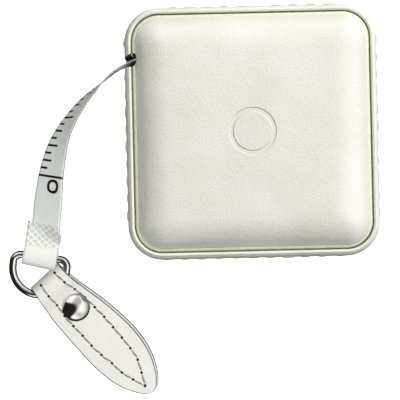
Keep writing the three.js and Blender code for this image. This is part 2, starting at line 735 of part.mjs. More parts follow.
const widestAt = foldFace + tabWidestAt;
const leaf = new THREE.Shape();
const leafGrip = tabWidestAt * leafGripShare;
const leafStart = foldFace + tabLeather;
const leafTurn = widestAt + tabTipReach * 2;
leaf.moveTo(foldFace - cutOverrun, -tabFoldHalf);
leaf.lineTo(leafStart, -tabFoldHalf);
const [foldGrip, widestGrip] = [leafStart + leafGrip, widestAt - leafGrip];
leaf.bezierCurveTo(foldGrip, -tabShoulderHalf, widestGrip, -tabWidestHalf, widestAt, -tabWidestHalf);
leaf.bezierCurveTo(leafTurn, -tabWidestHalf, tabEnd, -tabTipReach, tabEnd, 0);
leaf.bezierCurveTo(tabEnd, tabTipReach, leafTurn, tabWidestHalf, widestAt, tabWidestHalf);
leaf.bezierCurveTo(widestGrip, tabWidestHalf, foldGrip, tabShoulderHalf, leafStart, tabFoldHalf);
leaf.lineTo(foldFace - cutOverrun, tabFoldHalf);
leaf.closePath();
const leafDepth = ringAt.z + foldOuter;
const tabBody = solid(tabStrip).intersect(solid(prism(leaf, -leafDepth, leafDepth)))
  .subtract(solid(rod(rivetPost + fitGap, -leafDepth, leafDepth, rivetX)));
piece('pull_tab', tabBody, leather, tabGroup);

// Rivet: domed cap with its post through both layers, and the disc it is set into
const setHigh = slabLow + runningGap / 2;
const capProfile = [[0, setHigh], [rivetPost, setHigh], [rivetPost, slabHigh], [rivetCapRadius, slabHigh]];
for (let i = 0; i < domeSteps; i++) {
  const angle = Math.PI / 2 * i / domeSteps;
  const rise = rivetEdge + (rivetCapHeight - rivetEdge) * Math.sin(angle);
  capProfile.push([rivetCapRadius * Math.cos(angle), slabHigh + rise]);
}
capProfile.push([0, slabHigh + rivetCapHeight]);
piece('rivet_cap', turned(capProfile).translate(rivetX, 0, 0), nickel, tabGroup);
const baseHigh = slabLow - runningGap / 2;
piece('rivet_base', rod(rivetBaseRadius, baseHigh - rivetBaseThickness, baseHigh, rivetX), nickel, tabGroup);

export default part;
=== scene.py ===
import json
import math
import random
from functools import partial

import bmesh
import bpy
import numpy as np
from mathutils import Matrix, Vector


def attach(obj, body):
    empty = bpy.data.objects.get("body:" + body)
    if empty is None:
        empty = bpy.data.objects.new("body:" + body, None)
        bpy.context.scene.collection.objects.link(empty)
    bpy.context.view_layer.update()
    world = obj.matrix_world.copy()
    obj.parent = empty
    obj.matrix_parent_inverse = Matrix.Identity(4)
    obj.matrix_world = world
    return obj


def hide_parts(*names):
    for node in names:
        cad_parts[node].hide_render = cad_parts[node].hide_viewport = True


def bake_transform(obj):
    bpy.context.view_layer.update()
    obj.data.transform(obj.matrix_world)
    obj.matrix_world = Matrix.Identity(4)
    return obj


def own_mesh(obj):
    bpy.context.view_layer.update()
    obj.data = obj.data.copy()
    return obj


# Cloth tape measure in a padded leather case. Lengths in the dictionaries are millimetres.
mm = 0.001
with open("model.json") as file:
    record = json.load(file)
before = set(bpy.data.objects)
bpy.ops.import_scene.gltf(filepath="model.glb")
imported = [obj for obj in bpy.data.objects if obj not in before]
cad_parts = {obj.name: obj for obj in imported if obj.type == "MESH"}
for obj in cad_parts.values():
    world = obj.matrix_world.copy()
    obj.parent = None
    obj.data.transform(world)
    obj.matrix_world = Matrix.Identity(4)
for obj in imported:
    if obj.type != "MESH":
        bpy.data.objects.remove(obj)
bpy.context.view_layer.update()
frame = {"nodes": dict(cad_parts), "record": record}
dice = random.Random(7)


# the lens looks straight down at "over", and "width" of the table fills the picture
camera = {"over": (-10.84, -13.53), "height": 380.0, "width": 83.617, "roll": -1.3, "clip": (10, 20000)}


def addObject(name, data):
    made = bpy.data.objects.new(name, data)
    bpy.context.collection.objects.link(made)
    return made


def makeCamera(c):
    lens = bpy.data.cameras.new("copyStandLens")
    lens.lens = lens.sensor_width * c["height"] / c["width"]
    lens.clip_start, lens.clip_end = c["clip"][0] * mm, c["clip"][1] * mm
    stand = addObject("copyStandCamera", lens)
    stand.location = (c["over"][0] * mm, c["over"][1] * mm, c["height"] * mm)
    stand.rotation_euler = (0, 0, math.radians(c["roll"]))
    bpy.context.scene.camera = stand


makeCamera(camera)
print("camera set")


def newMaterial(name):
    material = bpy.data.materials.new(name)
    material.use_nodes = True
    tree = material.node_tree
    return material, tree, tree.nodes["Principled BSDF"]


def setInputs(tree, node, values):  # a plain value is set, anything else is linked
    for key, value in values.items():
        if isinstance(value, bpy.types.NodeSocket):
            tree.links.new(value, node.inputs[key])
        else:
            node.inputs[key].default_value = value


def addNode(tree, kind, inputs=(), **settings):
    node = tree.nodes.new(kind)
    for key, value in settings.items():
        setattr(node, key, value)
    setInputs(tree, node, dict(inputs))
    return node


def objectCoords(tree, scale=1.0, turn=(0, 0, 0), shift=(0, 0, 0)):
    size = scale if isinstance(scale, tuple) else (scale,) * 3
    place = addNode(tree, "ShaderNodeTexCoord").outputs["Object"]
    inputs = {"Vector": place, "Scale": size, "Rotation": turn, "Location": shift}
    return addNode(tree, "ShaderNodeMapping", inputs).outputs["Vector"]


def noise(tree, vector, scale, detail=3.0, roughness=0.5, output="Fac"):
    inputs = {"Vector": vector, "Scale": scale, "Detail": detail, "Roughness": roughness}
    return addNode(tree, "ShaderNodeTexNoise", inputs).outputs[output]


def mathNode(tree, operation, *values):
    return addNode(tree, "ShaderNodeMath", enumerate(values), operation=operation).outputs[0]


def vectorNode(tree, operation, inputs):
    return addNode(tree, "ShaderNodeVectorMath", inputs, operation=operation).outputs[0]


def axesOf(tree, vector):
    return list(addNode(tree, "ShaderNodeSeparateXYZ", {0: vector}).outputs)


def fade(tree, value, start, end, low=0.0, high=1.0, kind="SMOOTHSTEP"):
    inputs = {"Value": value, "From Min": start, "From Max": end, "To Min": low, "To Max": high}
    return addNode(tree, "ShaderNodeMapRange", inputs, interpolation_type=kind).outputs["Result"]


def shaded(colour, share):
    return tuple(c * share for c in colour)


def ramp(tree, value, stops):
    node = addNode(tree, "ShaderNodeValToRGB", {"Fac": value})
    bar = node.color_ramp
    while len(bar.elements) < len(stops):
        bar.elements.new(0.5)
    for element, (place, colour) in zip(bar.elements, stops):
        element.position = place
        element.color = (*colour, 1) if isinstance(colour, tuple) else (colour,) * 3 + (1,)
    return node.outputs["Color"]


def colourMix(tree, share, a, b, blend="MIX"):
    node = addNode(tree, "ShaderNodeMix", data_type="RGBA", blend_type=blend)
    factor = [s for s in node.inputs if s.type == "VALUE"][0]
    first, second = [s for s in node.inputs if s.type == "RGBA"]
    for socket, value in ((factor, share), (first, a), (second, b)):
        if isinstance(value, bpy.types.NodeSocket):
            tree.links.new(value, socket)
        else:
            socket.default_value = (*value, 1) if isinstance(value, tuple) else value
    return [s for s in node.outputs if s.type == "RGBA"][0]


def bump(tree, shader, height, distance, under=None):
    node = addNode(tree, "ShaderNodeBump", {"Height": height, "Distance": distance * mm, "Strength": 1.0})
    if under is not None:
        setInputs(tree, node, {"Normal": under})
    setInputs(tree, shader, {"Normal": node.outputs["Normal"]})
    return node.outputs["Normal"]


leatherLook = {
    "colour": (0.83, 0.83, 0.80), "worn": (0.77, 0.77, 0.73), "pore": (0.95, 0.95, 0.94), "roughness": 0.42,
    "glossDrift": (-0.06, 0.08), "shine": 0.45, "grainSize": 0.62, "grainDepth": 0.026, "creaseSize": 2.4,
    "creaseDepth": 0.05, "wander": 0.5, "wanderScale": 900.0, "patchScale": 90.0,
}


def leatherFinish(name, look, mark=None, edge=None):
    material, tree, shader = newMaterial(name)
    calc = partial(mathNode, tree)
    place = objectCoords(tree)
    wander = noise(tree, place, look["wanderScale"], 2.0, 0.5, "Color")
    small = vectorNode(tree, "SCALE", {0: wander, "Scale": look["wander"] * mm})
    drift = vectorNode(tree, "ADD", {0: place, 1: small})
    inputs = {"Vector": drift, "Scale": 1 / (look["grainSize"] * mm), "Randomness": 1.0}
    grain = addNode(tree, "ShaderNodeTexVoronoi", inputs, feature="DISTANCE_TO_EDGE").outputs["Distance"]
    cells = calc("MINIMUM", calc("MULTIPLY", grain, 3.0), 1.0)
    crease = noise(tree, place, 1 / (look["creaseSize"] * mm), 4.0, 0.6)
    patches = noise(tree, place, look["patchScale"])
    tint = ramp(tree, patches, [(0.35, look["worn"]), (0.62, look["colour"])])
    pores = ramp(tree, cells, [(0.0, look["pore"]), (0.35, 1.0)])
    shade = colourMix(tree, 1.0, tint, pores, "MULTIPLY")
    if edge:  # painted shade: a darker tint towards one end (the tab's fold), or towards the edges all round (the pad's flanks)
        turn, shift = edge.get("turn", 0.0), edge.get("shift", (0, 0, 0))
        along, across, _ = axesOf(tree, objectCoords(tree, 1 / mm, (0, 0, turn), shift))
        if edge.get("round"):
            along = calc("MAXIMUM", calc("ABSOLUTE", along), calc("ABSOLUTE", across))
        share = fade(tree, along, edge["from"], edge["to"], 0.0, edge["share"])
        shade = colourMix(tree, share, shade, edge["tint"])
    low, high = (look["roughness"] + by for by in look["glossDrift"])
    gloss = fade(tree, crease, 0.3, 0.7, low, high, "LINEAR")
    setInputs(tree, shader, {"Base Color": shade, "Roughness": gloss, "Specular IOR Level": look["shine"]})
    first = bump(tree, shader, crease, look["creaseDepth"])
    second = bump(tree, shader, cells, look["grainDepth"], first)
    if mark:  # a plain ring pressed in over the button
        x, y, _ = axesOf(tree, place)
        reach = calc("SQRT", calc("ADD", calc("POWER", x, 2.0), calc("POWER", y, 2.0)))
        off = calc("ABSOLUTE", calc("SUBTRACT", reach, mark["radius"] * mm))
        inner, outer = (mark["line"] * share * mm for share in mark["wallShares"])
        bump(tree, shader, fade(tree, off, inner, outer), mark["depth"], second)
    return material


# "tints" are places on the flecks' scale and the share of the colour there
nickelLook = {
    "colour": (0.78, 0.76, 0.73), "tints": ((0.3, 0.9), (0.7, 1.0)), "roughness": 0.07, "haze": 0.1,
    "cloudScale": 420.0, "scratchScale": (9000.0, 900.0, 900.0), "scratchTurn": (0.3, 0.2, 0.7),
    "depth": 0.004,
}
steelLook = {
    "colour": (0.56, 0.57, 0.58), "tints": ((0.3, 0.8), (0.7, 1.0)), "roughness": 0.18, "haze": 0.2,
    "scale": (400.0, 400.0, 6000.0), "noiseScale": 1.0, "metal": 1.0, "shine": 0.5, "depth": 0.01,
}
plasticLook = {
    "colour": (0.009, 0.009, 0.009), "tints": ((0.35, 1.0), (0.8, 2.2)), "roughness": 0.45, "haze": 0.15,
    "scale": 1.0, "noiseScale": 1 / (0.22 * mm), "metal": 0.0, "shine": 0.15, "depth": 0.02,
}


def tintOf(tree, flecks, look):
    return ramp(tree, flecks, [(at, shaded(look["colour"], share)) for at, share in look["tints"]])


def nickelFinish(name, look):
    material, tree, shader = newMaterial(name)
    cloud = noise(tree, objectCoords(tree), look["cloudScale"], 4.0, 0.6)
    scratch = noise(tree, objectCoords(tree, look["scratchScale"], look["scratchTurn"]), 1.0, 2.0)
    gloss = fade(tree, scratch, 0.35, 0.75, look["roughness"], look["roughness"] + look["haze"], "LINEAR")
    setInputs(tree, shader, {"Base Color": tintOf(tree, cloud, look), "Roughness": gloss, "Metallic": 1.0})
    bump(tree, shader, cloud, look["depth"])
    return material


def fleckedFinish(name, look):
    material, tree, shader = newMaterial(name)
    flecks = noise(tree, objectCoords(tree, look["scale"]), look["noiseScale"])
    gloss = mathNode(tree, "ADD", mathNode(tree, "MULTIPLY", flecks, look["haze"]), look["roughness"])
    setInputs(tree, shader, {"Base Color": tintOf(tree, flecks, look), "Roughness": gloss,
                             "Metallic": look["metal"], "Specular IOR Level": look["shine"]})
    bump(tree, shader, flecks, look["depth"])
    return material


plainLooks = {  # name, colour, its darker flecks, their size and depth, roughness
    "foam": ("padFoam", (0.69, 0.62, 0.40), (0.45, 0.38, 0.22), 0.35, 0.12, 0.95),
    "card": ("stiffCard", (0.30, 0.21, 0.12), (0.20, 0.14, 0.08), 0.5, 0.04, 0.9),
    "groove": ("oliveGroove", (0.12, 0.12, 0.06), (0.07, 0.07, 0.035), 0.6, 0.03, 0.7),
    "welt": ("greenishWelt", (0.80, 0.81, 0.66), (0.70, 0.71, 0.55), 0.9, 0.02, 0.6),
    "tapeEdge": ("tapeCutEdge", (0.44, 0.45, 0.46), (0.32, 0.32, 0.34), 0.4, 0.02, 0.7),
    "rubber": ("brakeRubberAndHoleShade", (0.024, 0.024, 0.024), (0.012, 0.012, 0.012), 0.3, 0.02, 0.85),
    "cloth": ("woundTapeCloth", (0.68, 0.71, 0.68), (0.52, 0.55, 0.53), 0.25, 0.03, 0.6),
}


def plainFinish(name, colour, flecks, size, depth, roughness):
    material, tree, shader = newMaterial(name)
    fleck = noise(tree, objectCoords(tree), 1 / (size * mm), 5.0, 0.65)
    tint = ramp(tree, fleck, [(0.35, flecks), (0.6, colour)])
    setInputs(tree, shader, {"Base Color": tint, "Roughness": roughness})
    bump(tree, shader, fleck, depth)
    return material


tapePrint = {
    "colour": (0.91, 0.945, 0.95), "ink": (0.012, 0.012, 0.014), "roughness": 0.42,
    "pitch": 1.5875, "inch": 16, "stroke": 0.46, "ticks": (2.1, 2.8, 3.4, 4.2), "inset": 0.2, "zero": 30.28,
    "digitAt": (1.84, 0.88), "noughtOuter": (1.34, 1.57), "noughtInner": (0.80, 0.88), "noughtPower": 2.3,
    "oneHalf": (1.4, 0.25), "weave": 0.2, "weaveDepth": 0.012, "dustScale": 700.0, "uvSize": 100.0,
}
weldLook = {  # the cross-hatch that welds the lap, with painted shade in its dents and a painted highlight on its ridges
    "slope": 0.9, "pitch": 1.45, "wall": (0.10, 0.32), "margin": 0.1, "depth": 0.09,
    "shadedDent": (0.58, 0.60, 0.58), "dentShadeShare": 0.5, "ridgeHighlight": (0.90, 0.92, 0.90), "highlightShare": 0.8,
}
hemLook = {"length": 12.2, "colour": (0.72, 0.73, 0.71)}  # the fold is a little greyer


def inkOf(tree, look, width, u, v, digits):
    calc = partial(mathNode, tree)
    step = calc("DIVIDE", calc("SUBTRACT", look["zero"], u), look["pitch"])
    index = calc("ROUND", step)
    offTick = calc("MULTIPLY", calc("ABSOLUTE", calc("SUBTRACT", step, index)), look["pitch"])
    length = None
    for every, reach in zip((1, 2, 4, 8, look["inch"]), (*look["ticks"], width + 1)):
        turns = calc("DIVIDE", index, float(every))
        rest = calc("ABSOLUTE", calc("SUBTRACT", turns, calc("ROUND", turns)))
        here = calc("MULTIPLY", calc("LESS_THAN", rest, 0.01), float(reach))
        length = here if length is None else calc("MAXIMUM", length, here)
    fromEdge = calc("ADD", v, width / 2)
    inStroke, inLength = calc("LESS_THAN", offTick, look["stroke"] / 2), calc("LESS_THAN", fromEdge, length)
    onTick = calc("MULTIPLY", inStroke, inLength)
    clearEdge = calc("MAXIMUM", calc("GREATER_THAN", fromEdge, look["inset"]),
                     calc("GREATER_THAN", length, width + 0.5))
    ink = calc("MULTIPLY", onTick, calc("MULTIPLY", calc("GREATER_THAN", index, -0.5), clearEdge))
    if not digits:
        return ink
    along, middle = look["digitAt"]
    across = calc("SUBTRACT", v, middle)
    fromNought = calc("SUBTRACT", u, look["zero"] + along)
    rings = []
    for halves in (look["noughtOuter"], look["noughtInner"]):
        offs = zip((fromNought, across), halves)
        shares = [calc("ABSOLUTE", calc("DIVIDE", off, half)) for off, half in offs]
        rings.append(calc("ADD", *(calc("POWER", share, look["noughtPower"]) for share in shares)))
    nought = calc("MULTIPLY", calc("LESS_THAN", rings[0], 1.0), calc("GREATER_THAN", rings[1], 1.0))
    fromOne = calc("SUBTRACT", u, look["zero"] - look["inch"] * look["pitch"] + along)
    one = calc("MULTIPLY", *(calc("LESS_THAN", calc("ABSOLUTE", off), half)
                             for off, half in zip((fromOne, across), look["oneHalf"])))
    return calc("MAXIMUM", calc("MAXIMUM", ink, nought), one)


# u runs along the tape from the mouth and v across it, both in millimetres
def tapeFinish(name, look, width, straight=None, weld=None, hem=None):
    material, tree, shader = newMaterial(name)
    calc = partial(mathNode, tree)
    if straight:  # the run inside the case is read from its place
        x, _, z = axesOf(tree, objectCoords(tree, 1 / mm, (0, 0, -straight["turn"])))
        u, v = calc("SUBTRACT", x, straight["start"]), calc("SUBTRACT", z, straight["middle"])
    else:
        x, y, _ = axesOf(tree, addNode(tree, "ShaderNodeUVMap", uv_map="tapeUv").outputs["UV"])
        u, v = calc("MULTIPLY", x, look["uvSize"]), calc("MULTIPLY", y, look["uvSize"])
    ink = inkOf(tree, look, width, u, v, not straight)
    threads = [calc("SINE", calc("MULTIPLY", at, 2 * math.pi / look["weave"])) for at in (u, v)]
    height, depth = calc("MULTIPLY", calc("MULTIPLY", *threads), 0.5), look["weaveDepth"]
    dust = noise(tree, objectCoords(tree), look["dustScale"], 4.0)
    ground = ramp(tree, dust, [(0.3, shaded(look["colour"], 0.94)), (0.65, look["colour"])])
    if hem:
        ground = colourMix(tree, calc("GREATER_THAN", u, hem["from"]), ground, hem["colour"])
    if weld:
        ridges = []
        for slope in (weld["slope"], -weld["slope"]):
            slant = calc("ADD", u, calc("MULTIPLY", v, slope))
            ridges.append(fade(tree, calc("PINGPONG", slant, weld["pitch"] / 2), *weld["wall"], 1.0, 0.0))
        lines = calc("MAXIMUM", *ridges)
        inside = calc("MULTIPLY", calc("GREATER_THAN", u, weld["from"]), calc("LESS_THAN", u, weld["to"]))
        shadedDent = calc("MULTIPLY", inside, calc("SUBTRACT", 1.0, lines))
        highlightMask = calc("MULTIPLY", inside, lines)
        # painted shade darkens the dents and a painted highlight lightens the ridges; the bump below sinks
        # the dents as well
        ground = colourMix(tree, calc("MULTIPLY", shadedDent, weld["dentShadeShare"]), ground, weld["shadedDent"])
        ground = colourMix(tree, calc("MULTIPLY", highlightMask, weld["highlightShare"]), ground, weld["ridgeHighlight"])
        height, depth = calc("SUBTRACT", calc("MULTIPLY", height, 0.1), shadedDent), weld["depth"]
    printed = colourMix(tree, ink, ground, look["ink"])
    setInputs(tree, shader, {"Base Color": printed, "Roughness": look["roughness"]})
    bump(tree, shader, height, depth)
    return material


threadLooks = {  # colour, the painted shade between its strands, their width and depth, roughness
    "whiteThread": ((0.74, 0.74, 0.68), (0.42, 0.42, 0.36), 0.5, 0.05, 0.75),
    "oliveThread": ((0.47, 0.46, 0.40), (0.13, 0.13, 0.10), 0.45, 0.05, 0.75),
}


def threadFinish(name, colour, dark, twist, depth, roughness):
    material, tree, shader = newMaterial(name)
    inputs = {"Vector": objectCoords(tree), "Scale": 1 / (twist * mm), "Distortion": 2.0, "Detail": 2.0}
    wave = addNode(tree, "ShaderNodeTexWave", inputs, wave_type="BANDS", bands_direction="DIAGONAL")
    strands = wave.outputs["Fac"]
    # painted shade in the dark bands between the strands; the same bands make the bump
    tint = ramp(tree, strands, [(0.1, dark), (0.6, colour)])
    setInputs(tree, shader, {"Base Color": tint, "Roughness": roughness})
    bump(tree, shader, strands, depth)
    return material


pressedRing = {"radius": 4.3, "line": 0.75, "depth": 0.16, "wallShares": (0.35, 0.75)}
# painted shade: the front pad's outer flanks are darker and greener all round
padFlankShade = {"round": True, "from": 20.8, "to": 23.6, "share": 0.5, "tint": (0.58, 0.60, 0.48)}
tabLook = {**leatherLook, "colour": (0.95, 0.95, 0.93), "worn": (0.90, 0.90, 0.88), "grainDepth": 0.012,
           "creaseDepth": 0.035}
# painted shade: a dark colour for the tab's cut edges and a narrow band of the top beside them
edgeShadeLook = {**leatherLook, "colour": (0.15, 0.15, 0.14), "worn": (0.10, 0.10, 0.09)}
pipingLook = {**leatherLook, "colour": (0.86, 0.86, 0.78), "worn": (0.80, 0.80, 0.71)}
# painted shade, dark in the tab's fold: turn and shift put x along the tab, from the ring
foldShade = {"turn": math.radians(48.636507), "shift": (9.23, 51.15, 0), "from": 4.4, "to": 1.4,
             "share": 0.7, "tint": (0.26, 0.26, 0.25)}

looks = {
    "leather": leatherFinish("whiteLeather", leatherLook),
    "tabLeather": leatherFinish("tabLeather", tabLook, None, foldShade),
    "cutEdgeShade": leatherFinish("cutLeatherEdgeShade", edgeShadeLook),
    "piping": leatherFinish("creamPiping", pipingLook),
    "frontLeather": leatherFinish("frontPadLeather", leatherLook, pressedRing, padFlankShade),
    "nickel": nickelFinish("polishedNickel", nickelLook),
    "steel": fleckedFinish("springSteel", steelLook),
    "black_plastic": fleckedFinish("blackPlastic", plasticLook),
}
looks.update({slot: plainFinish(*row) for slot, row in plainLooks.items()})
looks.update({name: threadFinish(name, *row) for name, row in threadLooks.items()})
print("finishes made")


def addMesh(name, bm, material):
    mesh = bpy.data.meshes.new(name)
    bm.to_mesh(mesh)
    bm.free()
    mesh.materials.append(material)
    return addObject(name, mesh)


def makePiece(name, bm, material, body, replaced=(), angle=40):
    bmesh.ops.remove_doubles(bm, verts=bm.verts, dist=0.0005 * mm)
    bmesh.ops.recalc_face_normals(bm, faces=bm.faces)
    piece = addMesh(name, bm, material)
    mesh = piece.data
    mesh.shade_smooth()
    mesh.set_sharp_from_angle(angle=math.radians(angle))
    if body:
        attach(piece, body)
    if replaced:
        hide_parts(*replaced)
    return piece


def settle(piece):  # keeps what the modifiers make and clears them
    bpy.context.view_layer.update()
    graph = bpy.context.evaluated_depsgraph_get()
    made = piece.evaluated_get(graph)
    mesh = bpy.data.meshes.new_from_object(made, preserve_all_data_layers=True, depsgraph=graph)
    piece.modifiers.clear()
    piece.data = mesh


# a grid for a long strip, and the row along it that each of its points is in
def stripGrid(rows, columns, uv=None):
    bm = bmesh.new()
    bmesh.ops.create_grid(bm, x_segments=rows - 1, y_segments=columns, size=0.5)
    if uv:
        bm.loops.layers.uv.new(uv)
    return bm, {vert: round((vert.co.x + 0.5) * (rows - 1)) for vert in bm.verts}


def thicken(piece, thickness, edge):  # the cut edges get a look of their own
    piece.data.materials.append(edge)
    thick = piece.modifiers.new("thickness", "SOLIDIFY")
    thick.thickness, thick.offset, thick.material_offset_rim = thickness * mm, 0.0, 1
    settle(piece)


def only(kind, geom):
    return [part for part in geom if isinstance(part, kind)]


def lift(bm, verts, by):
    bmesh.ops.translate(bm, verts=verts, vec=(0, 0, by * mm))


def sectionLoop(bm, points, place):  # a closed loop through (out, up) points
    verts = [bm.verts.new(place(o, z)) for o, z in points]
    return verts, [bm.edges.new((verts[i], verts[(i + 1) % len(verts)])) for i in range(len(verts))]


def carry(bm, edges, move, steps):  # extrudes a loop by a vector in equal steps
    for _ in range(steps):
        grown = bmesh.ops.extrude_edge_only(bm, edges=edges)["geom"]
        edges = only(bmesh.types.BMEdge, grown)
        bmesh.ops.translate(bm, verts=only(bmesh.types.BMVert, grown), vec=move / steps)
    return edges


def swing(bm, edges, centre, angle, steps):  # and round an upright axis
    grown = bmesh.ops.spin(bm, geom=edges, cent=centre, axis=(0, 0, 1), dvec=(0, 0, 0), angle=angle,
                           steps=steps, use_merge=False, use_duplicate=False)["geom_last"]
    return only(bmesh.types.BMEdge, grown)


# a section of (out, up) pairs carried round the case's rounded square
def roundTheCase(section, half, corner, straightSteps=10, cornerSteps=14):
    bm = bmesh.new()
    run = (half - corner) * mm
    _, edges = sectionLoop(bm, section, lambda o, z: ((half + o) * mm, -run, z * mm))
    for side in range(4):
        turn = Matrix.Rotation(side * math.pi / 2, 3, "Z")
        edges = carry(bm, edges, turn @ Vector((0, 2 * run, 0)), straightSteps)
        edges = swing(bm, edges, turn @ Vector((run, run, 0)), math.pi / 2, cornerSteps)
    return bm


def cutMouth(piece, cutter):
    cut = piece.modifiers.new("mouthCut", "BOOLEAN")
    cut.operation, cut.object, cut.solver = "DIFFERENCE", cutter, "EXACT"
    cut.material_mode = "TRANSFER"  # the opening's walls take the cutter's black
    settle(piece)


caseSize = {
    "half": 25.5, "corner": 7.0, "depth": 17.5, "rimTop": 15.0, "plateTop": 13.9, "plateLow": 3.6,
    "rimHalf": 24.1, "rimWidth": 0.68, "rimFoot": 0.02, "bandHalf": 24.2,
    "shoulder": {"inner": -0.12, "edge": 0.5, "belly": 0.8, "reach": 5.42, "power": 5.0},
    "padFoot": 0.01,  # the groove and the welt stand so far above the plate; their sections are (out, up)
    "groove": ((-0.29, 0), (0.0, 0), (0.0, 0.3), (-0.29, 0.15)),
    "welt": ((-0.28, 0), (-0.3, 0.14), (-0.42, 0.32), (-0.62, 0.44), (-0.9, 0.54), (-1.4, 0.62), (-1.4, 0)),
    "guide": {"x": (-24.9, -22.4), "wall": 0.35, "top": 13.4, "room": 0.3},
}
mouth = {"low": 4.8, "tall": 16.0, "y": (13.5, 16.8), "x": (-28.0, -23.0), "corner": 1.3, "slant": 2.6}


def makeCutter(m):
    bm = bmesh.new()
    bmesh.ops.create_cube(bm, size=1.0)
    size = ((m["x"][1] - m["x"][0]) * mm, (m["y"][1] - m["y"][0]) * mm, m["tall"] * mm)
    middle = (sum(m["x"]) / 2 * mm, sum(m["y"]) / 2 * mm, (m["low"] + m["tall"] / 2) * mm)
    bmesh.ops.scale(bm, verts=bm.verts, vec=size)
    bmesh.ops.translate(bm, verts=bm.verts, vec=middle)
    outerTop = [v for v in bm.verts if v.co.x < middle[0] and v.co.y > middle[1]]
    bmesh.ops.translate(bm, verts=outerTop, vec=(0, -m["slant"] * mm, 0))  # slants the way the tape leaves
    inner = [e for e in bm.edges if e.verts[0].co.x > middle[0]]
    upright = [e for e in inner if abs(e.verts[0].co.z - e.verts[1].co.z) > 10 * mm]
    bmesh.ops.bevel(bm, geom=upright, offset=m["corner"] * mm, segments=4, profile=0.5, affect="EDGES",
                    material=-1)
    return addMesh("mouthCutter", bm, looks["black_plastic"])


def bandOut(z):  # how far the leather side stands out from its own inner face at height z
    c, s = caseSize, caseSize["shoulder"]
    t = (z - (c["plateLow"] + c["plateTop"]) / 2) / s["reach"]
    return s["edge"] + s["belly"] * math.sqrt(max(1 - abs(t) ** s["power"], 0.0))


def makeCase(c):
    cutter = makeCutter(mouth)
    s, middle = c["shoulder"], (c["plateLow"] + c["plateTop"]) / 2
    heights = [middle + s["reach"] * math.sin(math.pi / 2 * (i / 12 - 1)) for i in range(25)]
    band = [(s["inner"], c["plateLow"]), *((bandOut(z), z) for z in heights), (s["inner"], c["plateTop"])]
    r, foot = c["rimWidth"] / 2, c["plateTop"] + c["rimFoot"]
    dome = [(r + r * math.cos(a), c["rimTop"] - r + r * math.sin(a))
            for a in (math.pi * i / 12 for i in range(13))]
    front = [(c["rimWidth"], foot), *dome, (0.0, foot)]
    rear = [(o, c["depth"] - z) for o, z in front]
    low = c["plateTop"] + c["padFoot"]
    groove, welt = ([(o, low + z) for o, z in c[key]] for key in ("groove", "welt"))
    for name, section, half, look, replaced, angle in (
            ("leatherSide", band, c["bandHalf"], "leather", ("side_leather",), 40),
            ("frontPiping", front, c["rimHalf"], "piping", ("front_rim",), 40),
            ("rearPiping", rear, c["rimHalf"], "piping", ("rear_rim",), 40),
            ("grooveBinding", groove, c["rimHalf"], "groove", (), 20),
            ("padWelt", welt, c["rimHalf"], "welt", (), 40)):
        bm = roundTheCase(section, half, c["corner"] - (c["half"] - half))
        piece = makePiece(name, bm, looks[look], "case", replaced, angle)
        if name != "rearPiping":
            cutMouth(piece, cutter)
    makeGuide(c["guide"])
    return cutter


def makeGuide(g):  # black channel that the tape slides through, open at the top
    guide = bmesh.new()
    wall, floor, top = g["wall"], mouth["low"], g["top"]
    a, b = mouth["y"][0] - g["room"], mouth["y"][1] + g["room"]
    section = [(a, top), (a, floor), (b, floor), (b, top), (b - wall, top), (b - wall, floor + wall),
               (a + wall, floor + wall), (a + wall, top)]
    start, end = g["x"]
    _, edges = sectionLoop(guide, section, lambda y, z: (end * mm, y * mm, z * mm))
    first = edges[:]
    last = carry(guide, edges, Vector(((start - end) * mm, 0, 0)), 4)
    for loop in (first, last):
        bmesh.ops.contextual_create(guide, geom=loop)
    makePiece("mouthGuide", guide, looks["black_plastic"], "case", ("tape_mouth",), 30)


cutter = makeCase(caseSize)
print("case side and piping made")


padShape = {
    "half": 23.62, "corner": 5.1, "low": 13.9, "foot": 0.45, "flank": 7.0, "rise": 2.75, "fall": 2.05,
    "crown": 0.38, "turn": 4.3, "turnSteps": 9, "turnPower": 1.3, "sideCuts": 15, "rearFlat": 0.55,
    "shares": (0.03, 0.06, 0.1, 0.15, 0.22, 0.3, 0.42, 0.56, 0.7, 0.84, 0.95),
}


def padHeight(p, inward, flat):  # height of the cover so far in from the pad's edge
    flank = max(1 - inward / p["flank"], 0.0)
    crown = min((p["crown"] + flat) * (1 - (1 - inward / p["half"]) ** 2), p["crown"])
    return p["foot"] + p["rise"] * (1 - flank ** p["fall"]) + crown


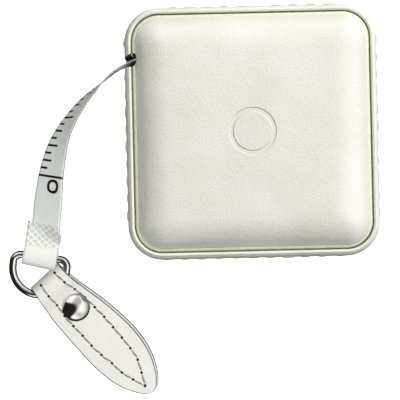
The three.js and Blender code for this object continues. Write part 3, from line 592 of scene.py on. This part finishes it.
def padMesh(p, flat):
    bm = bmesh.new()
    bmesh.ops.create_grid(bm, x_segments=1, y_segments=1, size=p["half"] * mm)
    bmesh.ops.bevel(bm, geom=bm.verts[:], offset=p["corner"] * mm, segments=10, profile=0.5,
                    affect="VERTICES", material=-1)
    longEdges = [e for e in bm.edges if e.calc_length() > 10 * mm]
    bmesh.ops.subdivide_edges(bm, edges=longEdges, cuts=p["sideCuts"])
    lift(bm, bm.verts, p["low"])
    face = only(bmesh.types.BMFace, bmesh.ops.extrude_face_region(bm, geom=bm.faces[:])["geom"])[0]
    lift(bm, face.verts, p["foot"])
    done, height = 0.0, p["foot"]
    for i in range(p["turnSteps"]):
        inward = p["turn"] * ((i + 1) / p["turnSteps"]) ** p["turnPower"]
        bmesh.ops.inset_region(bm, faces=[face], thickness=(inward - done) * mm, depth=0.0,
                               use_even_offset=True)
        rise = padHeight(p, inward, flat)
        lift(bm, face.verts, rise - height)
        done, height = inward, rise
    for share in p["shares"]:
        grown = bmesh.ops.extrude_face_region(bm, geom=[face])["geom"]
        old, face = face, only(bmesh.types.BMFace, grown)[0]
        bmesh.ops.delete(bm, geom=[old], context="FACES_ONLY")
        inward = p["turn"] + (p["half"] - p["turn"]) * share
        shrink = (p["half"] - inward) / (p["half"] - done)
        bmesh.ops.scale(bm, verts=face.verts, vec=(shrink, shrink, 1))
        rise = padHeight(p, inward, flat)
        lift(bm, face.verts, rise - height)
        done, height = inward, rise
    return bm


padCloth = {"size": 10.0, "voxel": 5.0, "pressure": 4.0, "quality": 4, "frames": 20, "cap": 0.22, "even": 14,
            "cushionRun": 20.0, "cushionFrom": 0.4}


# swells a pad as a filled cover does: cloth with pressure, worked at ten times the size
def puff(piece, s):
    mesh = piece.data.copy()
    work = addObject("padWork", mesh)
    mesh.transform(Matrix.Scale(s["size"], 4))
    remesh = work.modifiers.new("voxels", "REMESH")
    remesh.mode, remesh.voxel_size, remesh.use_smooth_shade = "VOXEL", s["voxel"] * mm, True
    settle(work)
    inner = work.vertex_groups.new(name="cushion")
    edge = max(v.co.x for v in work.data.vertices)
    for v in work.data.vertices:  # evens out the cushion, not its edge
        inward = edge - max(abs(v.co.x), abs(v.co.y))
        share = inward / (s["cushionRun"] * mm) - s["cushionFrom"]
        inner.add([v.index], min(max(share, 0.0), 1.0), "REPLACE")
    evened = work.modifiers.new("evened", "SMOOTH")
    evened.factor, evened.iterations, evened.vertex_group = 0.5, s["even"], "cushion"
    settle(work)
    rest = np.array([v.co for v in work.data.vertices])
    cloth = work.modifiers.new("cover", "CLOTH")
    cloth.settings.use_pressure = True
    cloth.settings.uniform_pressure_force = s["pressure"]
    cloth.settings.effector_weights.gravity = 0
    cloth.settings.quality = s["quality"]
    cloth.point_cache.frame_start, cloth.point_cache.frame_end = 1, s["frames"]
    scene = bpy.context.scene
    for number in range(1, s["frames"] + 1):
        scene.frame_set(number)
    graph = bpy.context.evaluated_depsgraph_get()
    now = np.array([v.co for v in work.evaluated_get(graph).data.vertices])
    scene.frame_set(1)
    work.modifiers.clear()
    move = now - rest
    far = np.linalg.norm(move, axis=1, keepdims=True)
    cap = s["cap"] * mm * s["size"]
    move *= np.minimum(1.0, cap / np.maximum(far, 1e-9))
    placed = (rest + move) / s["size"]
    work.data.vertices.foreach_set("co", placed.astype(np.float32).ravel())
    work.data.update()
    smoother = work.modifiers.new("round", "SUBSURF")
    smoother.levels = smoother.render_levels = 1
    settle(work)
    material = piece.data.materials[0]
    piece.data = work.data
    piece.data.materials.clear()
    piece.data.materials.append(material)
    piece.data.shade_smooth()
    bpy.data.objects.remove(work)


def makePad(name, rear, material, node):
    bm = padMesh(padShape, padShape["rearFlat"] if rear else 0.0)
    if rear:
        bmesh.ops.scale(bm, verts=bm.verts, vec=(1, 1, -1))
        lift(bm, bm.verts, caseSize["depth"])
    pad = makePiece(name, bm, material, "case", (node,), 60)
    puff(pad, padCloth)
    low = min(v.co.z for v in pad.data.vertices)
    high = max(v.co.z for v in pad.data.vertices)
    print(name, "swelled, from", round(low / mm, 2), "to", round(high / mm, 2), "mm")
    if rear:
        for v in pad.data.vertices:  # flat where it rests on the table
            v.co.z = max(v.co.z, 0.0)
    else:
        cutMouth(pad, cutter)


makePad("frontPad", False, looks["frontLeather"], "front_leather")
makePad("rearPad", True, looks["leather"], "rear_leather")
bpy.data.objects.remove(cutter)
print("pads made")


# one stitch: a slim rounded bar lying on the leather
def stitchShape(bm, place, along, out, size):
    made = bmesh.ops.create_uvsphere(bm, u_segments=8, v_segments=5, radius=0.5)["verts"]
    up = out.cross(along).normalized()
    turn = Matrix((along, up, out)).transposed()
    bmesh.ops.scale(bm, verts=made, vec=(size[0] * mm, size[1] * mm, size[2] * mm))
    bmesh.ops.rotate(bm, verts=made, cent=(0, 0, 0), matrix=turn)
    bmesh.ops.translate(bm, verts=made, vec=place)


# gives the place, the way along and the way out at a distance round the rounded square
def squareWalk(half, corner):
    run = half - corner
    straight, bend = 2 * run, corner * math.pi / 2

    def at(distance):
        side = int(distance // (straight + bend)) % 4
        d = distance % (straight + bend)
        turn = Matrix.Rotation(side * math.pi / 2, 3, "Z")
        if d < straight:
            spot, out = Vector((half, -run + d, 0)), Vector((1, 0, 0))
        else:
            a = (d - straight) / corner
            out = Vector((math.cos(a), math.sin(a), 0))
            spot = Vector((run, run, 0)) + out * corner
        spot, out = turn @ spot, turn @ out
        return spot, Vector((-out.y, out.x, 0)), out

    return at, 4 * (straight + bend)


sideSeam = {
    "rows": (12.35, 5.15), "pitch": 3.5, "size": (2.4, 0.75, 0.44), "gap": 1.4, "tilt": 0.12,
    "stretch": (0.75, 1.15), "wander": (-0.1, 0.06), "cornerSink": 0.24, "cornerShare": 0.55,
}


def makeSideSeams(s):
    c = caseSize
    bm = bmesh.new()
    for height in s["rows"]:
        half = c["bandHalf"] + bandOut(height)
        at, total = squareWalk(half, c["corner"] - (c["half"] - half))
        count = round(total / s["pitch"])
        for i in range(count):
            spot, along, out = at(total * (i + 0.5) / count)
            if spot.x < 0 and mouth["y"][0] - s["gap"] < spot.y < mouth["y"][1] + s["gap"]:
                continue
            tilt = dice.uniform(-s["tilt"], s["tilt"])
            lean = (along + Vector((0, 0, tilt))).normalized()
            stretch = dice.uniform(*s["stretch"])
            bend = min(abs(out.x), abs(out.y)) > 0.02  # at the corners they are shorter and lie flatter
            sink = dice.uniform(*s["wander"]) - (s["cornerSink"] if bend else 0)
            stretch *= s["cornerShare"] if bend else 1
            place = (spot + Vector((0, 0, height)) + out * sink) * mm
            stitchShape(bm, place, lean, out, (s["size"][0] * stretch, s["size"][1], s["size"][2]))
    makePiece("sideStitches", bm, looks["whiteThread"], "case")


makeSideSeams(sideSeam)
print("side seams sewn")


tape = {
    "width": 7.0, "thickness": 0.3, "columns": 12, "bar": 2.0, "hemLength": 8.4, "hemShort": 0.8, "weld": 5.5,
    "lapGap": 0.02, "lapShift": 0.55, "lapEdge": (0.485, -0.227), "eye": 1.08, "eyeTurn": 108,
    "loose": (0.985, 0.104), "looseRun": 1.2, "wayRun": 0.3,
    "route": [  # x, y, z and the lean from upright in degrees
        (-24.5, 14.7, 9, 0), (-27.39, 13.21, 9.05, 1), (-29.69, 11.39, 9.1, 3), (-31.81, 9.37, 9.1, 10),
        (-33.87, 7.35, 9.05, 16), (-35.68, 5.15, 8.9, 21), (-37.28, 2.82, 8.7, 26), (-38.63, 0.43, 8.3, 32),
        (-39.7, -2.1, 7.8, 39), (-40.5, -4.67, 7.2, 45), (-41.2, -7.45, 6.4, 50), (-41.72, -10.24, 5.5, 54),
        (-42.18, -13.14, 4.5, 59), (-42.86, -16.8, 3, 62), (-43.55, -19, 2.2, 72), (-44.05, -20.8, 1.9, 85),
        (-44.33, -22.6, 1.9, 90),
    ],
    "slant": ((0, 0), (5, -0.25), (10, -0.42), (14, -0.4), (18, -0.31), (25, -0.26), (29, -0.215),
              (31, -0.17), (36, 0), (60, 0)),
    "hemBow": {"x": (-60, -11.5, -10.2, -9, -7.5, -5.9, -4.5, -2.9, -2.1, -0.2, 1.9, 4),
               "by": (0, 0, 0, 0.05, 0.3, 0.6, 0.65, 0.58, 0.5, 0.36, 0, 0)},
    "feed": {"radius": 15.3, "bendAt": -22.0, "bendRadius": 5.5, "exit": 27.0, "wrap": -225.0, "middle": 9.0,
             "give": 1.0},
}


def ease(k):  # goes softly from 0 to 1
    return 3 * k**2 - 2 * k**3


def between(k, a, slopeA, b, slopeB):  # a soft curve from a to b with the slopes at its ends
    return ((2 * k**3 - 3 * k**2 + 1) * a + (k**3 - 2 * k**2 + k) * slopeA
            + (3 * k**2 - 2 * k**3) * b + (k**3 - k**2) * slopeB)


def softCurve(table, key, xs):  # a soft curve through a table's values
    at = np.array(table["x"], float)
    value = np.array(table[key], float)
    slope = np.gradient(value, at)
    out = []
    for x in np.atleast_1d(xs):
        x = min(max(x, at[0]), at[-1])
        i = min(int(np.searchsorted(at, x, side="right")) - 1, len(at) - 2)
        gap = at[i + 1] - at[i]
        out.append(between((x - at[i]) / gap, value[i], gap * slope[i], value[i + 1], gap * slope[i + 1]))
    return np.array(out)


def smoothRoute(points, steps=16):  # the tape's curve with its lean, through every point
    p = np.array(points, float)
    p = np.vstack([2 * p[0] - p[1], p, 2 * p[-1] - p[-2]])
    line = []
    for i in range(1, len(p) - 2):
        before, here, after, later = p[i - 1:i + 3]
        g, h, j = (max(np.linalg.norm(p[i + k, :3] - p[i + k - 1, :3]) ** 0.5, 1e-4) for k in (0, 1, 2))
        a = (here - before) / g - (after - before) / (g + h) + (after - here) / h
        b = (after - here) / h - (later - here) / (h + j) + (later - after) / j
        for k in range(steps):
            line.append(between(k / steps, here, a * h, after, b * h))
    line.append(p[-2])
    return np.array(line)


routeLine = smoothRoute(tape["route"])
routeAt = np.concatenate([[0], np.cumsum(np.linalg.norm(np.diff(routeLine[:, :3], axis=0), axis=1))])
routeLength = float(routeAt[-1])
barAlong = routeLength + tape["bar"]
hemStart = barAlong - tape["hemLength"] + tape["hemShort"]
print("tape route", round(routeLength, 2), "mm, lap from", round(hemStart, 2))


# a point so far along the tape, across it and off its printed face
def besideRoute(along, across, off):
    reach = min(max(along, 0.0), routeLength)
    here = np.array([np.interp(reach, routeAt, routeLine[:, k]) for k in range(4)])
    a, b = max(reach - tape["wayRun"], 0.0), min(reach + tape["wayRun"], routeLength)
    way = Vector([float(np.interp(b, routeAt, routeLine[:, k]) - np.interp(a, routeAt, routeLine[:, k]))
                  for k in range(3)]).normalized()
    lean = math.radians(min(float(here[3]), 90.0))
    side = way.cross(Vector((0, 0, 1))).normalized()
    rise = side.cross(way)
    face = side * math.cos(lean) + rise * math.sin(lean)
    edge = rise * math.cos(lean) - side * math.sin(lean)
    return Vector(here[:3]) + way * (along - reach) + edge * across + face * off


# (along, off) pairs down the tape, round the ring's bar and back over itself
def stripProfile(t):
    weldEnd, low = hemStart + t["weld"], t["thickness"] + t["lapGap"]
    points = [(weldEnd * i / 150, 0.0) for i in range(151)]
    turn = math.radians(t["eyeTurn"])
    near, off = barAlong + t["eye"] * math.cos(turn), t["eye"] * math.sin(turn)
    for k in (i / 8 for i in range(1, 8)):
        points.append((weldEnd + (near - weldEnd) * k, -off * ease(k)))
    for a in (-turn + 2 * turn * i / 24 for i in range(25)):
        points.append((barAlong + t["eye"] * math.cos(a), t["eye"] * math.sin(a)))
    for k in (i / 8 for i in range(1, 9)):
        points.append((near + (weldEnd - near) * k, off + (low - off) * ease(k)))
    for i in range(1, 21):
        points.append((weldEnd + (hemStart - weldEnd) * i / 20, low))
    return points


def makeTape(t):
    profile = stripProfile(t)
    gone = [0.0]
    for a, b in zip(profile, profile[1:]):
        gone.append(gone[-1] + math.dist(a, b))
    lapFrom = next(i for i, (_, off) in enumerate(profile) if off > 0.5)
    weldEnd, looseRun = hemStart + t["weld"], t["looseRun"]
    slantAt, slantBy = zip(*t["slant"])
    bm, rowOf = stripGrid(len(profile), t["columns"], "tapeUv")
    spots = {}
    for vert, i in rowOf.items():
        across = vert.co.y * t["width"]
        along, off = profile[i]
        slant = float(np.interp(gone[i], slantAt, slantBy))
        spots[vert] = (gone[i] - slant * (across + t["width"] / 2), across)
        shift = float(softCurve(t["hemBow"], "by", along - barAlong)[0])
        loose = min(max((along - barAlong + looseRun) / (looseRun + t["eye"]), 0.0), 1.0)
        along += (t["loose"][0] + t["loose"][1] * across) * ease(loose)  # the fold hangs past the bar
        if i >= lapFrom:
            shift -= t["lapShift"] * (gone[i] - gone[lapFrom]) / (gone[-1] - gone[lapFrom])
            if along < weldEnd:  # the lap's cut edge isn't quite square
                along += (t["lapEdge"][0] + t["lapEdge"][1] * across) * (weldEnd - along) / t["weld"]
        vert.co = besideRoute(along, across + shift, off) * mm
    uvLayer = bm.loops.layers.uv["tapeUv"]
    for face in bm.faces:
        for loop in face.loops:
            loop[uvLayer].uv = [at / tapePrint["uvSize"] for at in spots[loop.vert]]
    weldFrom = gone[-1] - t["weld"]
    weld = {**weldLook, "from": weldFrom, "to": gone[-1] - weldLook["margin"]}
    hem = {**hemLook, "from": weldFrom - hemLook["length"]}
    material = tapeFinish("printedTape", tapePrint, t["width"], None, weld, hem)
    piece = makePiece("printedTape", bm, material, "tape", ("free_tape", "tape_hem"))
    thicken(piece, t["thickness"], looks["tapeEdge"])
    return piece


printedTape = makeTape(tape)
print("tape made")


# the tape's outer turn on the reel, its run to the mouth and out to the free tape
def makeFeed(t):
    f = t["feed"]
    bend, leaving, wrap = f["bendRadius"], math.radians(f["exit"]), math.radians(f["wrap"])
    turns = [wrap + (math.pi / 2 - wrap) * i / 72 for i in range(73)]
    points = [(f["radius"] * math.cos(a), f["radius"] * math.sin(a)) for a in turns]
    for a in (math.pi / 2 + leaving * i / 8 for i in range(9)):
        points.append((f["bendAt"] + bend * math.cos(a), f["radius"] - bend + bend * math.sin(a)))
    start, last = Vector(t["route"][0][:2]), Vector(points[-1])
    points += [tuple(last.lerp(start, i / 4)) for i in range(1, 5)]
    bm, rowOf = stripGrid(len(points), t["columns"] // 2)
    for vert, i in rowOf.items():
        x, y = points[i]
        vert.co = Vector((x * mm, y * mm, (f["middle"] + vert.co.y * t["width"]) * mm))
    way = Vector((-math.cos(leaving), -math.sin(leaving)))
    straight = {"turn": math.atan2(way.y, way.x), "start": start.dot(way), "middle": f["middle"]}
    material = tapeFinish("feedTape", tapePrint, t["width"], straight)
    piece = makePiece("feedTape", bm, material, None, ("tape_feed",))
    thicken(piece, t["thickness"], looks["tapeEdge"])
    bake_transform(piece)


makeFeed(tape)
print("feed made")


ring = {"wire": 0.8, "radius": 5.6, "drop": 2.25, "corner": 1.5, "centre": (-44.4888, -26.876363, 1.900543),
        "turn": -8.836507}


def makeRing(r):
    bm = bmesh.new()
    circle = [(r["radius"] + r["wire"] * math.cos(a), r["wire"] * math.sin(a))
              for a in (2 * math.pi * i / 20 for i in range(20))]
    _, edges = sectionLoop(bm, circle, lambda x, z: (x * mm, 0, z * mm))
    shoulder = r["drop"] - r["corner"]
    edges = carry(bm, edges, Vector((0, shoulder * mm, 0)), 2)
    reach = r["radius"] - r["corner"]
    edges = swing(bm, edges, (reach * mm, shoulder * mm, 0), math.pi / 2, 12)
    edges = carry(bm, edges, Vector((-2 * reach * mm, 0, 0)), 4)
    edges = swing(bm, edges, (-reach * mm, shoulder * mm, 0), math.pi / 2, 12)
    edges = carry(bm, edges, Vector((0, -shoulder * mm, 0)), 2)
    swing(bm, edges, (0, 0, 0), math.pi, 48)
    place = Matrix.Translation(Vector(r["centre"]) * mm) @ Matrix.Rotation(math.radians(r["turn"]), 4, "Z")
    bmesh.ops.transform(bm, matrix=place, verts=bm.verts)
    makePiece("dRing", bm, looks["nickel"], "ring", ("d_ring",), 180)


makeRing(ring)
print("ring made")


tab = {
    "leather": 0.78, "turn": -(90 - 50.2) + ring["turn"], "fold": 1.75, "wrap": 1.35, "bow": 4.9, "flat": 9.0,
    "low": -1.05, "high": -0.25, "end": 35.0, "layerShift": 0.5, "layerRun": 8.0, "shadeBand": 0.19,
    "columns": 24,
    "leaf": {  # from the ring's middle: half width, and how far the middle wanders
        "tip": 30,
        "x": (0, 2.4, 5.1, 9.5, 13.5, 18, 22.7, 26.5, 30, 32.2, 33.6, 34.5, 35.0),
        "half": (3.75, 3.8, 4.15, 4.95, 5.45, 5.8, 5.9, 5.5, 4.5, 3.45, 2.45, 1.35, 0.0),
        "middle": (-0.3, -0.35, -0.45, -0.4, -0.1, 0.15, 0.28, 0.3, 0.27, 0.25, 0.22, 0.22, 0.22),
    },
    "seam": {
        "x": (2.9, 5.6, 8.2, 11, 14, 17, 20, 22.5, 25, 27.4, 30, 32.9),
        "half": (1.92, 2.18, 2.5, 2.88, 2.97, 2.97, 2.92, 2.75, 2.45, 2.2, 1.25, 0.05),
        "middle": (-0.2, -0.3, -0.1, -0.1, -0.07, 0.0, -0.08, 0.0, 0.1, 0.0, -0.25, -0.5),
        "pitch": 2.72, "threadShare": 0.84, "thread": (0.46, 0.36), "lean": (0.03, 0.16),
        "hole": (0.74, 0.6, 0.27), "steps": 160, "wayRun": 0.2,
    },
}
tabTurn = Matrix.Rotation(math.radians(tab["turn"]), 4, "Z")
tabPlace = Matrix.Translation(Vector(ring["centre"]) * mm) @ tabTurn


def leafHalfAt(x):  # round at the tip, smooth along the sides
    tip = tab["leaf"]["tip"]
    if x < tip:
        return float(softCurve(tab["leaf"], "half", x)[0])
    start = float(softCurve(tab["leaf"], "half", tip)[0])
    return start * math.sqrt(max(1 - (x - tip) / (tab["end"] - tip), 0.0))


def tabHeight(t, x):
    if x <= t["bow"]:
        return t["wrap"]
    if x >= t["flat"]:
        return t["high"]
    k = (x - t["bow"]) / (t["flat"] - t["bow"])
    return t["wrap"] + (t["high"] - t["wrap"]) * ease(k)


# (x, z) down the leather: the lower layer from its tip, the fold, the upper layer
def tabProfile(t):
    outer = [t["end"] - (t["end"] - t["flat"]) * (1 - math.cos(math.pi / 2 * i / 44)) for i in range(45)]
    lower = [(x, t["low"]) for x in outer]
    for k in (i / 12 for i in range(1, 13)):
        x = t["flat"] + (t["bow"] - t["flat"]) * k
        lower.append((x, t["low"] + (-t["wrap"] - t["low"]) * ease(k)))
    centre = t["fold"] + t["wrap"] + t["leather"] / 2
    wrap = [(centre + t["wrap"] * math.cos(a), t["wrap"] * math.sin(a))
            for a in (-math.pi / 2 - math.pi * i / 20 for i in range(21))]
    rising = [t["bow"] + (t["flat"] - t["bow"]) * i / 12 for i in range(13)]
    upper = [(x, tabHeight(t, x)) for x in rising] + [(x, t["high"]) for x in reversed(outer[:-1])]
    return lower + wrap + upper


def makeTab(t):
    profile = tabProfile(t)
    foldRow = min(range(len(profile)), key=lambda i: profile[i][0])
    bm, rowOf = stripGrid(len(profile), t["columns"])
    sideVerts = {vert for vert in bm.verts if abs(vert.co.y) > 0.499}  # the grid is 1 wide
    for vert, i in rowOf.items():
        x, z = profile[i]
        apart = t["layerShift"] / 2 * min(max((x - t["fold"]) / t["layerRun"], 0), 1)
        half = max(leafHalfAt(x) - apart, 0.0)  # the lower leather peeps out at one side
        share = min(max(vert.co.y * 2 * t["columns"] / (t["columns"] - 2), -1.0), 1.0)
        place = share * max(half - t["shadeBand"], half / 2)
        if vert in sideVerts:
            place = math.copysign(half, vert.co.y)
        y = place + float(softCurve(t["leaf"], "middle", x)[0]) + (apart if i < foldRow else -apart)
        vert.co = Vector((x, y, z)) * mm
    # faces along the sides and at the tip take the dark painted edge shade
    for face in bm.faces:
        atSide = sum(v in sideVerts for v in face.verts) >= 2
        atEnd = min(profile[rowOf[v]][0] for v in face.verts) > t["end"] - t["shadeBand"]
        face.material_index = 1 if atSide or atEnd else 0
    bmesh.ops.transform(bm, matrix=tabPlace, verts=bm.verts)
    piece = makePiece("pullTab", bm, looks["tabLeather"], "tab", ("pull_tab",), 50)
    thicken(piece, t["leather"], looks["cutEdgeShade"])


makeTab(tab)


def pointAt(line, gone, at):  # the point so far along a line of points
    return Vector([float(np.interp(at, gone, [p[k] for p in line])) for k in range(3)])


def makeTabSeams(t):
    threads, holes = bmesh.new(), bmesh.new()
    seam = t["seam"]
    for side in (1, -1):
        line = []
        for x in np.linspace(seam["x"][0], seam["x"][-1], seam["steps"]):
            y = side * softCurve(seam, "half", x)[0] + softCurve(seam, "middle", x)[0]
            line.append(Vector((float(x), float(y), tabHeight(t, float(x)) + t["leather"] / 2)))
        gone = [0.0]
        for a, b in zip(line, line[1:]):
            gone.append(gone[-1] + (b - a).length)
        count = round(gone[-1] / seam["pitch"])
        pitch = gone[-1] / count
        for n in range(2 * count + 1):  # a needle hole's painted shade (a dark blob) and a thread in turn
            at = n / 2 * pitch
            ahead, behind = (pointAt(line, gone, at + run) for run in (seam["wayRun"], -seam["wayRun"]))
            along = (ahead - behind).normalized()
            out = (Vector((0, 0, 1)) - along * along.z).normalized()
            place = pointAt(line, gone, at) * mm
            if n % 2:
                lean = (along + out.cross(along) * dice.uniform(*seam["lean"])).normalized()
                stitchShape(threads, place, lean, out, (pitch * seam["threadShare"], *seam["thread"]))
            else:
                stitchShape(holes, place, along, out, seam["hole"])
    for name, bm, look in (("tabThreads", threads, "oliveThread"), ("tabNeedleHoleShades", holes, "rubber")):
        bmesh.ops.transform(bm, matrix=tabPlace, verts=bm.verts)
        makePiece(name, bm, looks[look], "tab")


makeTabSeams(tab)
print("pull tab made")


rivet = {
    "at": 11.146, "cap": 2.92, "height": 1.42, "edge": 0.22, "post": 0.9, "base": 2.6, "baseThick": 0.35,
    "top": 0.15, "under": -1.45, "gap": 0.05, "lip": ((-0.12, 0.02), (-0.02, 0.1)), "rounding": 0.1,
}


def makeTurned(name, profile, replaced):  # (radius, height) pairs turned about the upright axis
    bm = bmesh.new()
    verts = [bm.verts.new((r * mm, 0, z * mm)) for r, z in profile]
    edges = [bm.edges.new(pair) for pair in zip(verts, verts[1:])]
    bmesh.ops.spin(bm, geom=verts + edges, cent=(0, 0, 0), axis=(0, 0, 1), dvec=(0, 0, 0), angle=2 * math.pi,
                   steps=64, use_merge=True, use_duplicate=False)
    bmesh.ops.remove_doubles(bm, verts=bm.verts, dist=0.002 * mm)
    bmesh.ops.transform(bm, matrix=tabPlace @ Matrix.Translation((rivet["at"] * mm, 0, 0)), verts=bm.verts)
    makePiece(name, bm, looks["nickel"], "tab", (replaced,), 50)


def makeRivet(r):
    top, under = r["top"], r["under"] + r["gap"]
    high = r["height"] - r["edge"]
    ball = (r["cap"] ** 2 + high**2) / (2 * high)  # radius of the sphere that the dome is cut from
    spread = math.asin(r["cap"] / ball)
    dome = [(ball * math.sin(a), top + r["height"] - ball * (1 - math.cos(a)))
            for a in (spread * (1 - i / 16) for i in range(17))]
    lip = [(r["cap"] + out, top + up) for out, up in r["lip"]]
    post = [(0.0, under), (r["post"], under), (r["post"], lip[0][1])]
    makeTurned("rivetCap", [*post, *lip, *dome[:-1], (0.0, dome[-1][1])], "rivet_cap")
    high = r["under"] - r["gap"]
    low, wide, turn = high - r["baseThick"], r["base"], r["rounding"]
    disc = [(0.0, low), (wide - turn, low), (wide, low + turn), (wide, high), (0.0, high)]
    makeTurned("rivetBase", disc, "rivet_base")


makeRivet(rivet)
print("rivet made")


def makeReturnCoil():  # the return spring, copied from its own mesh
    coil = bmesh.new()
    coil.from_mesh(frame["nodes"]["return_spring"].data)
    piece = makePiece("returnCoil", coil, looks["steel"], "case", ("return_spring",))
    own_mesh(piece)


makeReturnCoil()
print("return spring made")

slots = {row["node"]: row["material_slot"] for row in frame["record"]["subparts"]}
for name, node in frame["nodes"].items():
    if node.hide_render or node.type != "MESH":
        continue
    for holder in node.material_slots:
        holder.link = "OBJECT"
        holder.material = looks[slots[name]]
print("inner parts dressed")


# lengths in metres here, but "under" in millimetres: the paper lies so far under the case
studio = {
    "floor": (0.82, 0.82, 0.82), "glow": 0.75, "bounce": 0.27, "mirrored": 0.02, "floorHalf": 4.0,
    "under": 0.05, "lampColour": (1.0, 0.995, 0.985),
    "tent": (0.46, 0.465, 0.425), "horizon": (0.33, 0.335, 0.30),
    "key": {"at": (0.41, 0.395, 0.46), "size": (0.36, 0.36), "power": 5.5, "target": (0, 0, 0)},
    "tapeCard": {"at": (-0.105, -0.095, 0.105), "size": (0.05, 0.05), "power": 0.062,
                 "target": (-0.040, -0.005, 0.006)},
    # what polished metal shows: a bright ceiling and a dark card with a bowed edge
    "mirror": {"glow": (0.6, 1.5), "dark": (0.022, 0.015, 0.012), "card": -0.08, "bow": 3.2, "tilt": 18,
               "low": 0.6, "soft": (0.14, 0.05)},
}


def pickFor(tree, ray, usual, special):  # one shader for a kind of ray and another for the rest
    share = addNode(tree, "ShaderNodeLightPath").outputs[ray]
    return addNode(tree, "ShaderNodeMixShader", {0: share, 1: usual.outputs[0], 2: special.outputs[0]})


# the camera sees bright paper; leather gets a weaker bounce from it, and nickel mirrors it dark
def makeFloor(s):
    bm = bmesh.new()
    bmesh.ops.create_grid(bm, x_segments=1, y_segments=1, size=s["floorHalf"])
    lift(bm, bm.verts, -s["under"])
    material, tree, shader = newMaterial("whitePaper")
    setInputs(tree, shader, {"Base Color": (*s["floor"], 1), "Roughness": 0.9,
                             "Emission Color": (1, 1, 1, 1), "Emission Strength": s["glow"]})
    dull = addNode(tree, "ShaderNodeEmission", {"Strength": s["bounce"]})
    dark = addNode(tree, "ShaderNodeBsdfDiffuse", {"Color": (s["mirrored"],) * 3 + (1,)})
    seen = pickFor(tree, "Is Camera Ray", pickFor(tree, "Is Glossy Ray", dull, dark), shader)
    setInputs(tree, tree.nodes["Material Output"], {"Surface": seen.outputs[0]})
    floor = addMesh("paperFloor", bm, material)


def makeLight(name, light, only=()):
    lamp = bpy.data.lights.new(name, "AREA")
    lamp.shape, lamp.energy = "RECTANGLE", light["power"]
    lamp.size, lamp.size_y = light["size"]
    lamp.color, lamp.use_shadow = studio["lampColour"], False
    stand = addObject(name, lamp)
    stand.location = light["at"]
    aim = Vector(light["target"]) - Vector(light["at"])
    stand.rotation_euler = aim.to_track_quat("-Z", "Y").to_euler()
    stand.visible_glossy = False
    if only:
        lit = bpy.data.collections.new(name + "Lights")
        for piece in only:
            lit.objects.link(piece)
        stand.light_linking.receiver_collection = lit


def makeWorld(s):
    world = bpy.data.worlds.new("studio")
    bpy.context.scene.world = world
    world.use_nodes = True
    tree, m = world.node_tree, s["mirror"]
    calc = partial(mathNode, tree)
    tent = tree.nodes["Background"]
    sky = addNode(tree, "ShaderNodeTexCoord").outputs["Generated"]
    tentStops = [(0.0, s["horizon"]), (0.3, s["horizon"]), (0.7, s["tent"])]
    setInputs(tree, tent, {"Color": ramp(tree, axesOf(tree, sky)[2], tentStops)})
    facing = vectorNode(tree, "NORMALIZE", {0: vectorNode(tree, "ADD", {0: sky, 1: (0, 0, 1)})})
    flatX, flatY, _ = axesOf(tree, facing)
    cos, sin = math.cos(math.radians(m["tilt"])), math.sin(math.radians(m["tilt"]))
    x = calc("ADD", calc("MULTIPLY", flatX, cos), calc("MULTIPLY", flatY, sin))
    y = calc("SUBTRACT", calc("MULTIPLY", flatY, cos), calc("MULTIPLY", flatX, sin))
    bow = calc("MULTIPLY", calc("POWER", calc("ABSOLUTE", y), 2.0), m["bow"])
    side = fade(tree, calc("ADD", calc("ADD", x, m["card"]), bow), -m["soft"][0], m["soft"][0])
    reach = calc("SQRT", calc("ADD", calc("MULTIPLY", x, x), calc("MULTIPLY", y, y)))
    near = fade(tree, reach, m["low"] + m["soft"][1], m["low"] - m["soft"][1])
    bright = ramp(tree, noise(tree, facing, 2.0, 0.0), [(0.34, m["glow"][0]), (0.6, m["glow"][1])])
    colour = colourMix(tree, calc("MULTIPLY", side, near), m["dark"], bright)
    pick = pickFor(tree, "Is Glossy Ray", tent, addNode(tree, "ShaderNodeBackground", {"Color": colour}))
    setInputs(tree, tree.nodes["World Output"], {"Surface": pick.outputs[0]})


makeFloor(studio)
makeLight("keySoftbox", studio["key"])
makeLight("tapeCard", studio["tapeCard"], [printedTape])
makeWorld(studio)
bpy.context.scene.view_settings.view_transform = "Standard"
print("stage and lights set")
